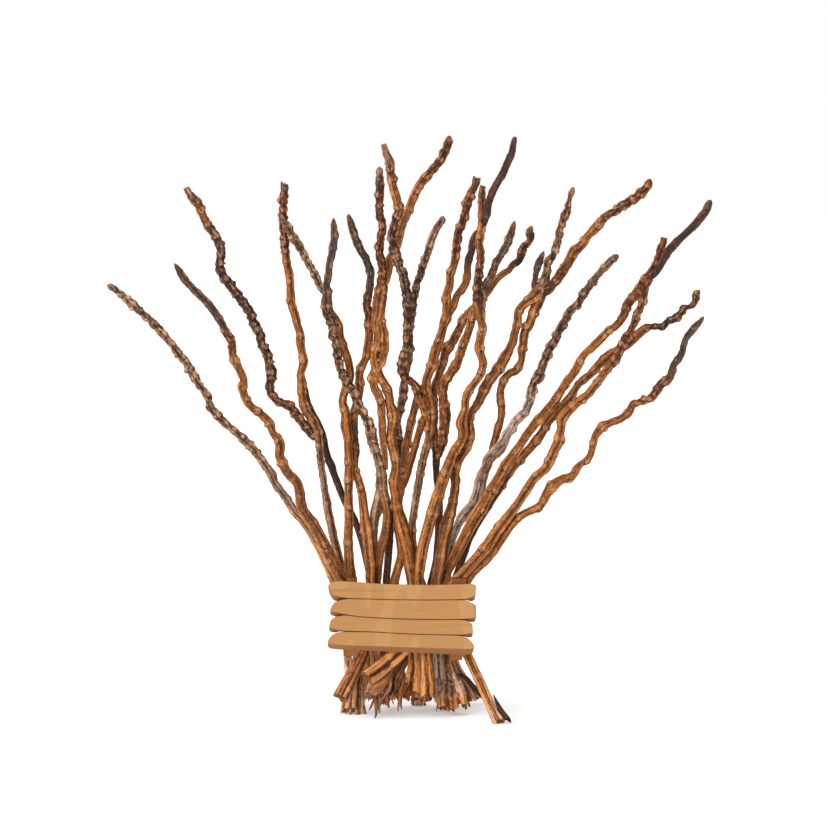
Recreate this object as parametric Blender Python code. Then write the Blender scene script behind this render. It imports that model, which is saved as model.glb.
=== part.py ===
"""A tied bunch of dried coconut flower stems, standing on its splayed cut ends, with a plain board sign at its waist.

Every stem is a tube lofted along a course that was read by eye from the front view: how far across, how far up, and
how wide, in millimetres. Its depth is set by a few knots, and then settled so that no two stems run into each other.
"""

import math
import random

import bmesh
import bpy
import numpy as np
from mathutils import Vector

MM = 0.001

# The eye that the courses were read from, in millimetres in front of the bunch's middle and above the surface.
EYE_BACK = 3000.0
EYE_ACROSS = 9.0
EYE_UP = 508.0

# Sizes that drive the stems, in millimetres.
RING_STEP = 12.0
FOOT_RING_STEP = 12.5
FOOT_TOP = 118.0
THIN_SIDES = 6
FOOT_SIDES = 12
ROUNDNESS = 0.92
FOOT_ROUNDNESS = 0.78
FACET = 0.92
FLARE_TOP = 60.0
FLARE_GAP = 0.3
CROWD_FROM = 20.0
CROWD_GAP = 0.25
SPARSE_FROM, SPARSE_TO = -22.0, 14.0
SNUG = 0.45
NUB = 1.1
NUB_FROM = 190.0
NUB_GAP = 0.55
RIB = 0.10
FRAY = 3.2
HOLLOW = 4.0

# How the stems are settled against each other.
SETTLE_STEP = 3.0
SETTLE_GAP = 0.6
SETTLE_ROUNDS = 1100
LAST_ROUNDS = 300
MEETING_BREAK = 5
SIGN_FROM, SIGN_TO = 47.0, 138.0
FRONT_LIMIT = -36.0
SQUEEZE_FROM, SQUEEZE_TO = 82.0, 118.0
SQUEEZE_DEPTH = -6.0
SQUEEZE = 0.02

# The tie: three turns of twine laid side by side round the waist.
TIE_UP = 96.0
TWINE = 3.6
TIE_TURNS = 3
TIE_GAP = 0.35
RIBBED_OUT = 1.03
TIE_CORNERS = 16
TIE_CORNER_APART = 0.8

# The sign.
BATTEN_THICK = 11.0
NOTCH_DEEP = 5.2
PLANK_THICK = 7.0
PLANK_CHAMFER = 0.9
TOUCH_GAP = 0.3

# (across, up, width) from the tip down, in millimetres as seen from the eye, on the upright plane through the middle.
STEM_01 = [
    (-298, 430, 4), (-293, 426, 7), (-284.5, 420, 7), (-273.5, 410, 9), (-262, 400, 7.5), (-252, 390, 9),
    (-243, 380, 8), (-234, 370, 8), (-227, 360, 8.5), (-218.5, 350, 8.5), (-213.5, 340, 9), (-207, 330, 8),
    (-200, 320, 8), (-194, 305, 8), (-187, 296, 9), (-180, 290, 8), (-168.5, 280, 8.5), (-160, 272, 10),
    (-150, 261, 8.5), (-142, 250, 9.5), (-135, 240, 9.5), (-131, 230, 8.5), (-123, 220, 9), (-116.5, 210, 9),
    (-110.5, 200, 9), (-104, 193, 9), (-95, 180, 9), (-86, 163, 9), (-79, 148, 9), (-73, 134, 10),
    (-66, 115, 10), (-62, 100, 10), (-60, 80, 10), (-58.5, 58, 9), (-57, 40, 10), (-56, 24, 12), (-55, 9, 15),
]
STEM_02 = [
    (-231, 451, 3), (-226, 443, 7), (-221, 435, 8), (-214, 427, 8), (-207, 420, 8), (-197, 410, 8),
    (-189.5, 400, 8.5), (-183, 390, 8), (-178.5, 380, 8), (-173.5, 372, 8), (-173, 360, 8.5), (-169, 350, 9),
    (-165.5, 343, 8), (-162.5, 335, 8), (-163, 325, 9), (-160, 315, 8), (-155, 308, 8), (-150, 303.5, 8.5),
    (-145, 300, 8.5), (-136, 290, 9), (-132.5, 280, 8), (-128, 275, 9), (-125.5, 268, 10), (-126.5, 260, 10),
    (-123, 250, 10), (-117.5, 240, 10), (-112, 235, 10), (-108.5, 230, 10), (-106, 220, 10.5), (-105, 210, 11),
    (-101, 200, 11), (-95, 192.5, 11.5), (-88, 180, 12), (-82, 167.6, 13), (-72, 147.7, 14), (-63.7, 133, 15),
    (-54, 114, 14), (-46, 100, 13), (-38, 80, 12), (-31, 60, 11), (-30, 44, 12), (-30, 30, 15), (-30, 15, 20),
]
STEM_03 = [
    (-121, 530, 5), (-121, 524, 8), (-122, 512, 8.5), (-122.3, 500, 8.5), (-121.8, 490, 9), (-121.5, 480, 8),
    (-121, 470, 9), (-119.8, 460, 8.5), (-118.5, 450, 9), (-116.5, 440, 9), (-115.4, 430, 8), (-115, 420, 9),
    (-114, 410, 8.5), (-111, 400, 9), (-108.7, 390, 8.5), (-105.8, 380, 8.5), (-105.5, 370, 9), (-103.5, 360, 8.5),
    (-102.5, 352, 9.5), (-105.3, 340, 8), (-104.8, 330, 8.5), (-104, 320, 9), (-102.8, 310, 9), (-100, 303, 9),
    (-95, 296, 10), (-91, 288, 11), (-88, 278, 10), (-86.5, 268, 8), (-86, 257, 8), (-84.5, 246, 8),
    (-83, 235, 7.5), (-81.8, 225, 7.5), (-80, 215, 8.5), (-78.5, 205, 9), (-76.5, 195, 9), (-74.5, 185, 9),
    (-72.5, 175, 9), (-70, 165, 9), (-67.5, 155, 9), (-65, 146, 9), (-61, 132, 10), (-55, 110, 10), (-51, 90, 10),
    (-48, 68, 10), (-49, 48, 12), (-51, 30, 17), (-53, 14, 23), (-54, -1, 26),
]
STEM_03_LEFT = [
    (-219, 526, 3), (-215.6, 520, 8), (-207, 510, 9.5), (-203, 500, 8.5), (-198, 490, 9), (-191, 480, 9),
    (-187, 473, 9.5), (-184, 464, 9), (-185, 457, 8.5), (-186, 450, 9), (-183, 440, 9), (-176, 430, 9.5),
    (-168.5, 420, 9), (-161, 410, 9.5), (-155, 400, 9.5), (-151, 390, 9), (-146, 380, 9.5), (-144, 370, 9),
    (-138.5, 360, 9), (-137, 350, 9), (-134, 343, 11), (-135.5, 335, 9), (-136, 325, 9), (-133, 318, 9),
    (-129, 313.5, 9), (-122, 310.5, 9), (-115, 307, 9), (-110, 300, 9.5), (-103, 291, 9.5), (-97, 283, 9),
    (-90, 276, 8),
]
STEM_04 = [
    (-104, 345, 3), (-103, 335, 6), (-100, 318, 7), (-96, 305, 8), (-88, 290, 8), (-83, 278, 8), (-80, 265, 7),
    (-77.5, 255, 7.5), (-74, 247, 8.5), (-72, 240, 7), (-69, 232, 7.5), (-66, 224, 7), (-63.5, 217, 7),
    (-58, 206, 7), (-53, 197, 7), (-49, 187, 7), (-45, 176, 7.5), (-41, 162, 8), (-38, 147, 8), (-34, 132, 8),
    (-30, 115, 8), (-31, 98, 8), (-34, 78, 8), (-36, 58, 9), (-37, 40, 9), (-38, 26, 11), (-38, 16, 13),
]
STEM_05 = [
    (-71.8, 496, 3), (-71.6, 490, 6), (-70.8, 480, 8), (-71.9, 470, 8), (-73.5, 460, 8), (-76.2, 450, 7.5),
    (-77, 440, 8), (-79, 430, 8), (-78.5, 420, 10), (-79, 410, 12), (-77, 400, 11), (-73.5, 390, 9), (-73, 380, 9),
    (-69, 370, 9), (-68, 360, 9), (-66.5, 350, 8.5), (-63, 340, 9), (-57.5, 330, 9), (-51, 320, 9.5), (-47, 310, 9),
    (-42, 300, 9), (-37, 291, 9.5), (-35, 282, 11), (-32.5, 270, 11), (-29, 259, 9.5), (-26, 250, 10),
    (-24.5, 242, 11), (-24, 234, 12.5), (-24, 226, 12), (-21.5, 216, 11), (-19.5, 207, 10), (-18.5, 197, 9),
    (-19.5, 187, 9), (-21, 178, 9.5), (-23.5, 169, 9.5), (-25.5, 160, 9.5), (-27, 150, 9), (-28, 140, 9),
    (-29, 132, 9), (-28, 112, 10), (-25, 94, 10), (-23, 76, 10), (-22, 58, 9), (-21, 42, 11), (-20, 28, 14),
    (-19, 12, 17),
]
STEM_05_LEFT = [
    (-125.5, 500, 3), (-124, 496, 6), (-119, 490, 7.5), (-113.6, 480, 8), (-107.6, 470, 8.5), (-102, 460, 8),
    (-96.4, 450, 8), (-91, 440, 8), (-86.5, 430, 7.5), (-80.5, 421, 8),
]
STEM_05_SPUR = [
    (-25, 224, 10), (-27, 215, 11), (-28.5, 206, 12), (-31, 196, 11), (-31.5, 187, 8), (-31.5, 177, 7),
    (-31.5, 166, 6), (-32, 155, 5), (-33, 146, 3),
]
STEM_06 = [
    (-76, 408, 3), (-74, 402, 6), (-70, 395, 8), (-66.5, 386, 8.5), (-65.5, 377, 8), (-63.5, 369, 9),
    (-60.5, 361, 8.5), (-58, 354, 8.5), (-56.5, 347, 8.5), (-56, 340, 9), (-56.5, 333, 8.5), (-60, 325, 9),
    (-62.5, 318, 8.5), (-63, 310, 9), (-60.5, 303, 9), (-60, 296, 10), (-60, 288, 12), (-58.5, 280, 11),
    (-58, 270, 9), (-57.5, 258, 9), (-57, 250, 9), (-57.5, 240, 9.5), (-57.5, 230, 9.5), (-57.5, 220, 9),
    (-57.5, 210, 9), (-57.5, 200, 9), (-57.5, 190, 9.5), (-58, 180, 9.5), (-58, 170, 10), (-57.5, 160, 10.5),
    (-57, 150, 11), (-56, 140, 12), (-55, 132, 12), (-50, 114, 12), (-44, 98, 12), (-40, 80, 12), (-42, 62, 13),
    (-51, 42, 14.5), (-60, 25, 16.5), (-66, 13, 17.5),
]
STEM_07 = [
    (-57.3, 500, 3), (-56, 495, 6.5), (-54, 489, 8), (-51.5, 480, 8), (-47.7, 470, 8), (-44.5, 463, 8.5),
    (-41, 458, 8), (-37.5, 450, 8.5), (-35, 440, 8.5), (-35.5, 432, 8), (-36.5, 424, 8), (-38, 416, 8.5),
    (-39, 409, 9), (-37, 400, 8.5), (-37.5, 390, 9), (-36.6, 380, 8.5), (-37.5, 370, 9), (-38.5, 364, 9.5),
    (-40, 356, 8.5), (-43.5, 349, 8.5), (-46.3, 341, 8.5), (-46, 333, 9), (-46, 324, 8.5), (-48, 315, 8.5),
    (-50.5, 306, 8.5), (-52, 297, 9), (-53, 288, 11), (-53, 278, 11), (-51.5, 268, 10), (-50.5, 261, 9.5),
    (-51, 254, 8), (-51, 247, 7), (-49.5, 240, 8), (-47, 233, 8.5), (-45, 225, 8.5), (-43.5, 217, 9),
    (-42.5, 208, 9.5), (-41.5, 199, 10), (-40.5, 190, 12), (-39, 181, 12.5), (-37.5, 172, 12), (-36.5, 162, 12),
    (-35.5, 152, 12), (-35, 142, 12), (-35, 132, 11.5), (-27, 114, 11), (-15, 98, 11), (-3, 80, 11), (7, 62, 12),
    (9, 48, 14), (8, 32, 18), (6.5, 16, 21),
]
STEM_08 = [
    (-26, 547, 3), (-26.2, 541, 7), (-25.6, 530, 8), (-26, 520, 8.5), (-26, 510, 8), (-26, 500, 8.5),
    (-23.7, 490, 8), (-24, 480, 8.5), (-26, 470, 8), (-26.5, 463, 8.5), (-24.5, 452, 8.5), (-23, 440, 9),
    (-23.5, 430, 12), (-25, 420, 14), (-26.5, 410, 13.5), (-27.5, 400, 13), (-30, 391, 10), (-28, 380, 9),
    (-28, 371, 9.5), (-31, 362, 9), (-31.5, 355, 9), (-30, 347, 9.5), (-27.3, 340, 9.5), (-24.5, 335, 9),
    (-21.5, 330, 9), (-18.5, 324, 10), (-16.5, 317, 8.5), (-16, 310, 9), (-14, 304, 11), (-12.8, 298, 12),
    (-13.8, 289, 9.5), (-14.8, 280, 9), (-14.5, 270, 9.5), (-12, 261, 9.5), (-10, 252, 9.5), (-10, 244, 9.5),
    (-11.3, 236, 10), (-12, 228, 10), (-10.5, 220, 10), (-9.5, 211, 10), (-7.5, 202, 11), (-5, 193, 13),
    (-3, 184, 14), (-1, 175, 14), (1, 166, 13.5), (2.5, 157, 13), (4, 148, 12.5), (5.5, 139, 12), (7, 131, 12),
    (10, 114, 12), (13, 98, 12), (17, 80, 12), (19, 62, 13), (20.5, 48, 15), (21.5, 32, 17), (22.5, 14, 18),
]
STEM_08_RIGHT = [
    (43.5, 578, 3), (43, 572, 8), (38, 560, 8.5), (32, 550, 9), (23.5, 540, 9), (15, 530, 9.5), (9.4, 520, 8.5),
    (5.3, 510, 9), (1.5, 500, 8.5), (-3, 490, 8.5), (-5.7, 480, 8.5), (-8, 470, 8.5), (-12, 462, 8.5),
    (-15.5, 455, 8.5), (-16.5, 447, 8.5), (-18, 440, 9), (-22, 430, 9),
]
STEM_08_LOOP = [
    (-25.5, 404, 9), (-24, 390, 9), (-22, 384, 9), (-21, 375, 9), (-20.5, 366, 9), (-22, 359, 9), (-24, 353, 9),
    (-27.5, 347, 9.5), (-31.5, 341, 9.5), (-32, 331, 9), (-30, 324, 9), (-27, 319, 9), (-25, 313, 8.5),
    (-24, 303, 8.5), (-23.3, 292, 8), (-23, 281, 8), (-22.3, 270, 7), (-21, 261, 6.5), (-20, 252, 5.5),
    (-19, 244, 3),
]
STEM_09 = [
    (71, 536, 4), (70, 531, 7.5), (64.8, 520, 8.5), (61.3, 510, 9), (59.2, 500, 8.5), (56, 490, 9), (52.2, 480, 8.5),
    (51.3, 470, 8.5), (50, 460, 9), (48.4, 450, 8.5), (44.7, 440, 8.5), (43.8, 430, 9), (41, 420, 9), (41, 410, 9.5),
    (41, 400, 11), (38, 390, 9.5), (35.5, 380, 9), (32.5, 371, 10), (29, 361, 11), (27, 351, 11), (23, 341, 10),
    (20.5, 333, 9.5), (20.5, 326, 9.5), (22, 318, 10.5), (24, 310, 11.5), (25, 302, 10.5), (25, 294, 9.5),
    (24.3, 286, 9), (23.3, 278, 8.5), (21.5, 270, 8.5), (19.3, 262, 9), (17.2, 254, 9), (15.5, 246, 9), (14, 238, 9),
    (12.5, 229, 8.5), (11, 219, 8.5), (9.5, 210, 8.5), (8, 200, 8), (6.5, 190, 8), (6.5, 178, 8), (8, 164, 8),
    (11, 148, 8), (15, 132, 9), (21, 114, 10), (26, 97, 10), (30, 80, 10), (31.5, 62, 11), (32.5, 48, 11.5),
    (34, 34, 12.5), (34.5, 27, 13),
]
STEM_09_LEFT = [
    (-22, 569, 3), (-21, 565, 7), (-19.3, 560, 8), (-15.6, 550, 8.5), (-14.8, 540, 8.5), (-13.3, 530, 9),
    (-10.8, 520, 9), (-7.8, 510, 9.5), (-7, 502, 9.5), (-9.5, 495, 9), (-12, 488, 9), (-14.4, 480, 8.5),
    (-13.4, 471, 8.5), (-11.5, 463, 9), (-8.5, 455, 9), (-6, 447, 9), (-3, 440, 9.5), (-1, 432, 9.5),
    (0.3, 423, 9.5), (1, 414, 9.5), (1.5, 406, 9), (1.7, 398, 9), (2, 390, 9), (1.8, 381, 9), (2, 373, 10),
    (2, 365, 11.5), (-1, 359, 10), (-4, 353, 9), (-5, 346, 8.5), (-3, 340, 8.5), (1.5, 335, 8.5), (7, 331, 8.5),
    (11, 325, 9), (13, 318, 10), (16, 311, 9), (19, 303, 9), (23, 294, 8),
]
STEM_09_RIGHT = [
    (70.5, 484, 3), (69, 478, 8), (67, 470, 7.5), (66, 463, 7.5), (63.5, 456, 8), (62, 448, 7.5), (61.5, 438, 8),
    (59.5, 430, 8), (55, 423, 8), (51, 418, 7.5), (48.5, 410, 8), (44, 401, 7),
]
STEM_10 = [
    (37.5, 498, 3), (36, 493, 7), (32, 488, 8), (28, 480, 8), (24.6, 470, 8), (21.5, 460, 8), (17.5, 450, 8),
    (14.3, 440, 8), (11, 430, 8), (8.8, 420, 7.5), (7.5, 410, 7.5), (6, 399, 7.5), (4.5, 388, 7.5), (4, 377, 7.5),
    (4, 366, 7.5), (3.5, 357, 7.5), (1.5, 349, 7.5), (0.5, 342, 7), (-1.5, 333, 7.5), (-2.5, 323, 9), (-3.5, 314, 9),
    (-5.5, 306, 8.5), (-8, 297, 8), (-8.5, 287, 7.5), (-7.5, 278, 8.5), (-5, 265, 9), (-5, 254, 8), (-7.5, 240, 8),
    (-10.5, 222, 8), (-13.5, 204, 8), (-15.5, 186, 8), (-16.5, 170, 8), (-17.5, 157, 8), (-18.5, 144, 8),
    (-19.5, 131, 8), (-16, 112, 8), (-10, 96, 8), (-6, 78, 8.5), (-7, 60, 9), (-9, 44, 9), (-8, 30, 10), (-7, 18, 11),
]
STEM_11 = [
    (16, 330, 3), (13.5, 322, 6), (10.8, 313, 8), (8.8, 304, 8), (6.5, 296, 8), (4.8, 288, 8.5), (3, 279, 8.5),
    (1.5, 271, 8.5), (0, 263, 9), (-0.5, 254, 9), (-1.5, 245, 9), (-3, 236, 9), (-5, 226, 9), (-7, 214, 9),
    (-8, 200, 9), (-7.5, 186, 9), (-5.5, 172, 9), (-4.5, 160, 8.5), (-6, 150, 9), (-8.5, 141, 9.5), (-11, 131, 10),
    (-10, 112, 10), (0, 92, 10), (8, 72, 10), (13, 52, 11), (14, 34, 12), (13, 20, 14), (13, 7, 15),
]
STEM_11_RIGHT = [
    (21, 306, 3), (18.5, 299, 6), (16.5, 291, 8), (14, 284, 8), (11.5, 276, 7.5), (9.5, 268, 7.5), (7, 260, 7.5),
    (4.5, 251, 7.5), (2, 242, 7.5), (-1, 233, 8), (-5, 225, 8),
]
STEM_12 = [
    (77, 528, 3), (76.3, 523, 7), (76, 512, 8.5), (76.5, 500, 9), (76, 490, 8.5), (74.5, 480, 8.5), (73.5, 471, 8.5),
    (75, 460, 8.5), (74.5, 450, 8.5), (73, 440, 8.5), (72.5, 431, 10), (74, 422, 14), (74, 411, 14), (74.5, 401, 11),
    (75.5, 394, 9), (77, 386, 8.5), (75, 377, 9), (73.5, 368, 9.5), (75, 360, 8.5), (77.5, 352, 8.5),
    (76.5, 345, 8.5), (73.5, 337, 8), (69, 331, 8), (64.5, 325, 8.5), (61, 318, 9), (59.5, 311, 8.5),
    (59.5, 304, 8.5), (57.5, 298, 10.5), (56, 291, 12.5), (57.5, 283, 11), (56, 274, 10), (51, 266, 9.5),
    (47.5, 260, 10), (44.5, 252, 11), (41.5, 244, 11.5), (38.5, 236, 12), (35.5, 227, 12), (32, 217, 12),
    (29, 208, 12.5), (26.5, 199, 12.5), (24, 190, 12.5), (21.5, 181, 12.5), (19, 172, 12.5), (17, 163, 12.5),
    (15.5, 154, 12), (14.5, 145, 11.5), (13.5, 136, 10.5), (14, 129, 10), (20, 114, 9.5), (31, 98, 9), (43, 82, 9),
    (55, 68, 8.5), (62, 57, 8.5), (69, 42, 8), (76, 27, 8), (83, 11, 8), (89, -3, 8.5), (95, -13, 10),
]
STEM_12_DARK = [
    (109, 577, 3), (108, 572, 5.5), (105.7, 560, 7.5), (101.3, 550, 8), (97, 540, 8), (91, 530, 8), (86, 520, 8),
    (82.8, 510, 8), (81, 500, 8), (77.5, 490, 8),
]
STEM_12_POINT = [
    (109, 493, 3), (107.5, 488, 6), (105, 480, 8), (101.5, 470, 8), (95.7, 460, 8), (90, 450, 8), (86, 440, 8),
    (81, 431, 8), (76, 422, 9),
]
STEM_12_HOOK = [
    (126, 488, 3), (123.5, 482, 7), (124.5, 476, 8), (121.5, 470.5, 6), (117, 466, 9), (115, 459, 8), (112.5, 453, 8),
    (107, 449.5, 7), (103, 444, 7), (98, 441, 7.5), (92, 436, 7), (87, 430, 7.5), (83, 424, 8), (76, 417, 8),
]
STEM_12_INNER = [
    (73, 412, 8), (64, 401, 8.5), (57.5, 395, 8.5), (55, 388, 8.5), (51, 380, 9), (46, 371, 10), (41, 364, 11),
    (38.5, 357, 8.5), (37, 350, 8.5), (34.5, 343, 8), (32, 336, 8), (29, 328, 8), (28, 318, 7.5), (28.5, 308, 7.5),
    (29, 298, 7.5), (29, 288, 7.5), (29.5, 278, 8), (30, 268, 8.5), (31, 258, 9), (30.5, 249, 7.5), (30.8, 241, 7),
    (31.5, 232, 7), (33, 222, 7), (34.5, 210, 7), (34, 199, 7.5), (33.5, 188, 8), (33, 176, 8), (32, 164, 8),
    (31, 152, 8), (28.5, 141, 8), (26, 131, 8), (24, 114, 8), (26, 97, 8), (31, 78, 8.5), (35, 60, 9), (36, 44, 10),
    (36, 28, 12), (37, 14, 13), (38, 3, 13),
]
STEM_12_MIDDLE = [
    (72, 414, 8), (67, 401, 9), (64.7, 391, 8.5), (62, 381, 8.5), (58, 372, 9), (55.5, 364, 9), (53, 356, 9),
    (48.5, 347, 11), (43.5, 339, 9.5), (38.5, 332, 11), (36.5, 325, 10.5), (37, 317, 10), (38, 309, 10.5),
    (39, 301, 12.5), (39, 293, 11.5), (38, 285, 10.5), (37.3, 277, 10), (36.3, 270, 9), (34, 262, 7), (32, 254, 4),
]
STEM_13 = [
    (167.5, 527, 3), (166, 523, 6), (163, 513, 5), (162.3, 507, 7), (158.7, 498, 8.5), (157, 492, 7.5),
    (153.8, 484, 8), (152.6, 474, 7), (150, 465, 8.5), (147, 458.5, 7), (142, 451, 8), (141, 444, 8), (140, 437, 8.5),
    (137.5, 430, 11), (134, 423, 14), (128, 417, 13), (121, 412, 9.5), (115.5, 406.5, 9), (112.3, 400, 9),
    (112, 393, 8.5), (110.5, 386, 8.5), (108.5, 379, 9), (107, 372, 9), (104, 365, 9.5), (100, 358, 11),
    (97, 352, 11), (93, 345.5, 11.5), (88.5, 339.5, 11), (83.5, 333.5, 11), (79.5, 326, 12), (76, 318, 10),
    (72, 310, 9), (67.5, 303, 8.5), (64.5, 296, 9), (64, 288, 10), (64, 279, 12), (62, 270, 11), (59, 262, 9.5),
    (54.5, 255, 9), (51.5, 248, 8.5), (49.5, 241, 10), (50, 233, 10), (49.5, 225, 10), (48.5, 217, 10),
    (47, 209, 10.5), (45, 201, 12), (42.5, 192, 13.5), (40, 183, 14), (38, 173, 13), (36.5, 162, 13), (34.5, 150, 13),
    (32, 138, 12.5), (31, 129, 12), (34, 112, 12), (37, 96, 11.5), (39.5, 78, 11), (41.5, 62, 10), (43, 48, 11),
    (46, 34, 15), (49, 20, 24), (51, 6, 27),
]
STEM_13_RIGHT = [
    (243.5, 535, 2), (241, 527, 9), (235, 521.5, 9), (229, 516, 9.5), (222, 511.5, 9), (214.5, 507, 8.5),
    (207, 502, 9), (200, 498, 8), (194.5, 491.5, 9), (188, 484.5, 9.5), (181, 477, 8), (176, 469.5, 9),
    (168.5, 463, 11), (164.5, 456, 10.5), (160, 448, 10.5), (154.5, 440, 11), (149.5, 433, 9.5), (144, 427, 11),
    (135, 421, 12),
]
STEM_13_POINT = [
    (138, 463, 2), (136.5, 459, 5.5), (133, 451, 8), (130.8, 444, 6.5), (129.5, 436, 6), (128.8, 428, 6),
    (128.5, 418, 7),
]
STEM_13_LOOP = [
    (136, 421, 10), (133, 412, 11), (129, 405, 11), (126.5, 398, 10), (124, 391, 10), (120, 384.5, 9.5),
    (118, 377, 9.5), (117.5, 370, 9), (116, 363, 8.5), (116, 356, 7.5), (114, 349.5, 8), (110, 343.5, 9),
    (104.5, 341, 8.5), (99.5, 336, 8.5), (96.5, 329, 8.5), (95, 322, 8), (95, 315, 8.5), (96, 308, 8.5), (96, 301, 8),
    (95, 294, 7.5), (93, 287, 8.5), (91, 280, 8), (89.3, 273, 8), (87, 266, 7.5), (85, 258, 5), (84, 252, 3),
]
STEM_14 = [
    (212.5, 459.5, 3), (210, 457.5, 6.5), (205, 453.5, 8.5), (200.5, 448.5, 8.5), (196.5, 444.5, 8),
    (191.5, 438.5, 7.5), (187, 432.5, 9), (182.5, 427, 8.5), (178.5, 421, 9), (174.5, 414.5, 8), (170, 408.5, 9),
    (164, 402.5, 8.5), (161, 396, 9), (157, 389.5, 9), (152.5, 382, 8), (149.5, 375, 9.5), (145, 368, 9.5),
    (142, 360, 9.5), (138.5, 353, 8.5), (135.5, 345, 9.5), (132.5, 337, 12), (128, 331, 8), (126.5, 324.5, 10),
    (125, 316, 9.5), (122.5, 308.5, 9), (118.5, 301, 9), (114, 296.5, 9), (109, 291, 9), (106, 285.5, 10),
    (101.5, 280, 9.5), (98.5, 273, 10), (94, 266, 13), (88, 260, 12), (83, 254, 11), (81, 247, 10), (77.5, 240, 11),
    (75, 232, 13), (73.5, 224, 12.5), (71, 216, 12), (67.5, 209, 11), (62, 203, 11), (57, 197, 11), (53, 190, 9),
    (49.5, 181, 7.5), (46, 171, 7.5), (43.5, 160, 7.5), (42, 147, 8), (42, 132, 8), (41, 114, 8), (41, 97, 8),
    (43, 78, 8), (47, 60, 8), (51, 46, 8), (58, 33, 8), (66, 21, 8), (72, 12, 9),
]
STEM_15 = [
    (258, 476.5, 5), (257, 472, 8.5), (254.5, 464, 8.5), (252.5, 456, 8), (250, 449, 8.5), (246, 442, 9),
    (241, 435, 12), (237, 428.5, 12), (232, 423, 9.5), (227.5, 417, 9.5), (222, 410, 10), (219.5, 403, 9.5),
    (217, 397, 8.5), (213, 391, 8.5), (208, 386.5, 8), (203, 383.5, 8.5), (199, 379, 8.5), (194, 374, 9.5),
    (189.5, 369.5, 9), (185, 365, 8.5), (180, 361, 8), (176, 355.5, 8.5), (173, 350, 8.5), (170, 344, 9.5),
    (166, 338, 9), (161, 332, 9), (157.5, 326, 8.5), (153.5, 320, 9), (150, 314, 9.5), (145.5, 308, 10),
    (141, 303, 10), (136, 297, 10), (130, 290.5, 10), (125, 284, 9.5), (120, 277, 9), (115.5, 270, 9),
    (111, 263, 9.5), (106, 256, 10.5), (101, 248.5, 12), (97, 241, 12), (92.5, 233, 12), (88, 225.5, 12),
    (83.5, 218, 12), (79, 210, 12.5), (74, 202, 13), (69, 194, 13), (64.5, 186, 12.5), (60, 177, 12), (55.5, 168, 12),
    (51, 159, 11.5), (46.5, 150, 11), (42, 141, 10), (38, 131, 10), (30, 112, 10), (20, 92, 10.5), (10, 73, 11),
    (2, 57, 11), (-5, 45, 11.5), (-11, 33, 13), (-13, 20, 16),
]
STEM_15_DARK = [
    (304.5, 514, 3), (302.5, 510.5, 6.5), (299.5, 503.5, 8.5), (294.5, 497, 9), (289.5, 490.5, 8.5), (283, 484, 8),
    (275, 476.5, 8), (267.5, 469, 9), (261, 461.5, 9), (256.5, 453, 8), (251, 444, 8), (244, 437, 8),
]
STEM_15_RIGHT = [
    (239.5, 429, 9), (238, 420, 9), (237, 413, 8), (235, 406.5, 8), (231.5, 400, 8), (229, 393.5, 8), (227, 387, 7.5),
    (224, 381, 8), (219.5, 375, 9.5), (217, 369, 9.5), (214, 363, 9.5), (211.5, 357, 9.5), (208, 352, 9.5),
    (204, 347.5, 8.5), (200, 342.5, 8.5), (196, 337, 8.5), (191.5, 331, 9), (187.5, 325.5, 9), (183, 320, 8.5),
    (178, 316, 9), (173, 312, 9), (167, 307, 9.5), (160.5, 301, 12), (156.5, 294, 10.5), (156, 286, 9),
    (154.5, 279, 10), (153.5, 272, 11), (150, 265, 11), (147, 258, 10.5), (144, 251, 10.5), (140.5, 245, 10),
    (134.5, 240, 9.5), (129, 235, 9.5), (125, 229, 10), (121, 222.5, 10), (116.5, 215.5, 9.5), (112, 208.5, 9.5),
    (107, 202, 10), (101.5, 195, 10.5), (96, 188, 11), (90, 180, 11), (84.5, 171.5, 11.5), (78, 163, 11.5),
    (72, 155.5, 11.5), (65.5, 148, 11.5), (59, 141, 11.5), (52, 133, 11.5), (40, 116, 11), (26, 98, 11),
    (13, 82, 11.5), (2, 69, 12), (-9, 57, 12.5), (-20, 48, 13), (-29, 41, 13.5), (-36, 36, 13.5),
]
STEM_16 = [
    (294, 424, 3), (291, 421, 7), (289.5, 415, 8), (288, 410.5, 7), (283.5, 407.5, 5), (278.5, 406.5, 7.5),
    (275.5, 402.5, 7), (271, 397, 8), (265.5, 394.5, 7.5), (260.5, 391.5, 7), (256, 388, 7.5), (251, 387.5, 6),
    (246, 387.5, 6.5), (241, 386.5, 8), (236.5, 383.5, 9.5), (231.5, 379, 10), (227, 375, 10), (222, 370, 9.5),
    (216, 366, 9), (209, 362, 9.5), (203, 358, 11), (198, 353.5, 11.5), (193, 349, 9), (189, 344, 8.5),
    (183.5, 339, 8), (178, 334, 8), (172.5, 329.5, 8), (169, 323.5, 8), (165.5, 317.5, 8.5), (160.5, 312, 8.5),
    (156, 307, 8.5), (151.5, 302, 9), (147, 296.5, 9), (142, 290.5, 8.5), (138, 283.5, 9), (134, 277, 10),
    (129, 271, 9.5), (123.5, 264.5, 9), (118, 258, 8.5), (112.5, 251.5, 8.5), (107, 245, 8.5), (102, 238, 8.5),
    (97, 230.5, 9), (92.5, 223, 9), (88, 216, 8.5), (83, 208, 8.5), (78, 200, 8.5), (72.5, 191.5, 8.5),
    (67.5, 182.5, 8.5), (63, 172.5, 8), (60, 163, 8), (56, 152, 8), (52.5, 141, 8), (48.5, 131, 8), (42, 114, 8.5),
    (35, 98, 9), (29, 80, 9), (26, 60, 9), (24, 44, 10), (25, 28, 12), (26, 16, 13),
]
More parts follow.
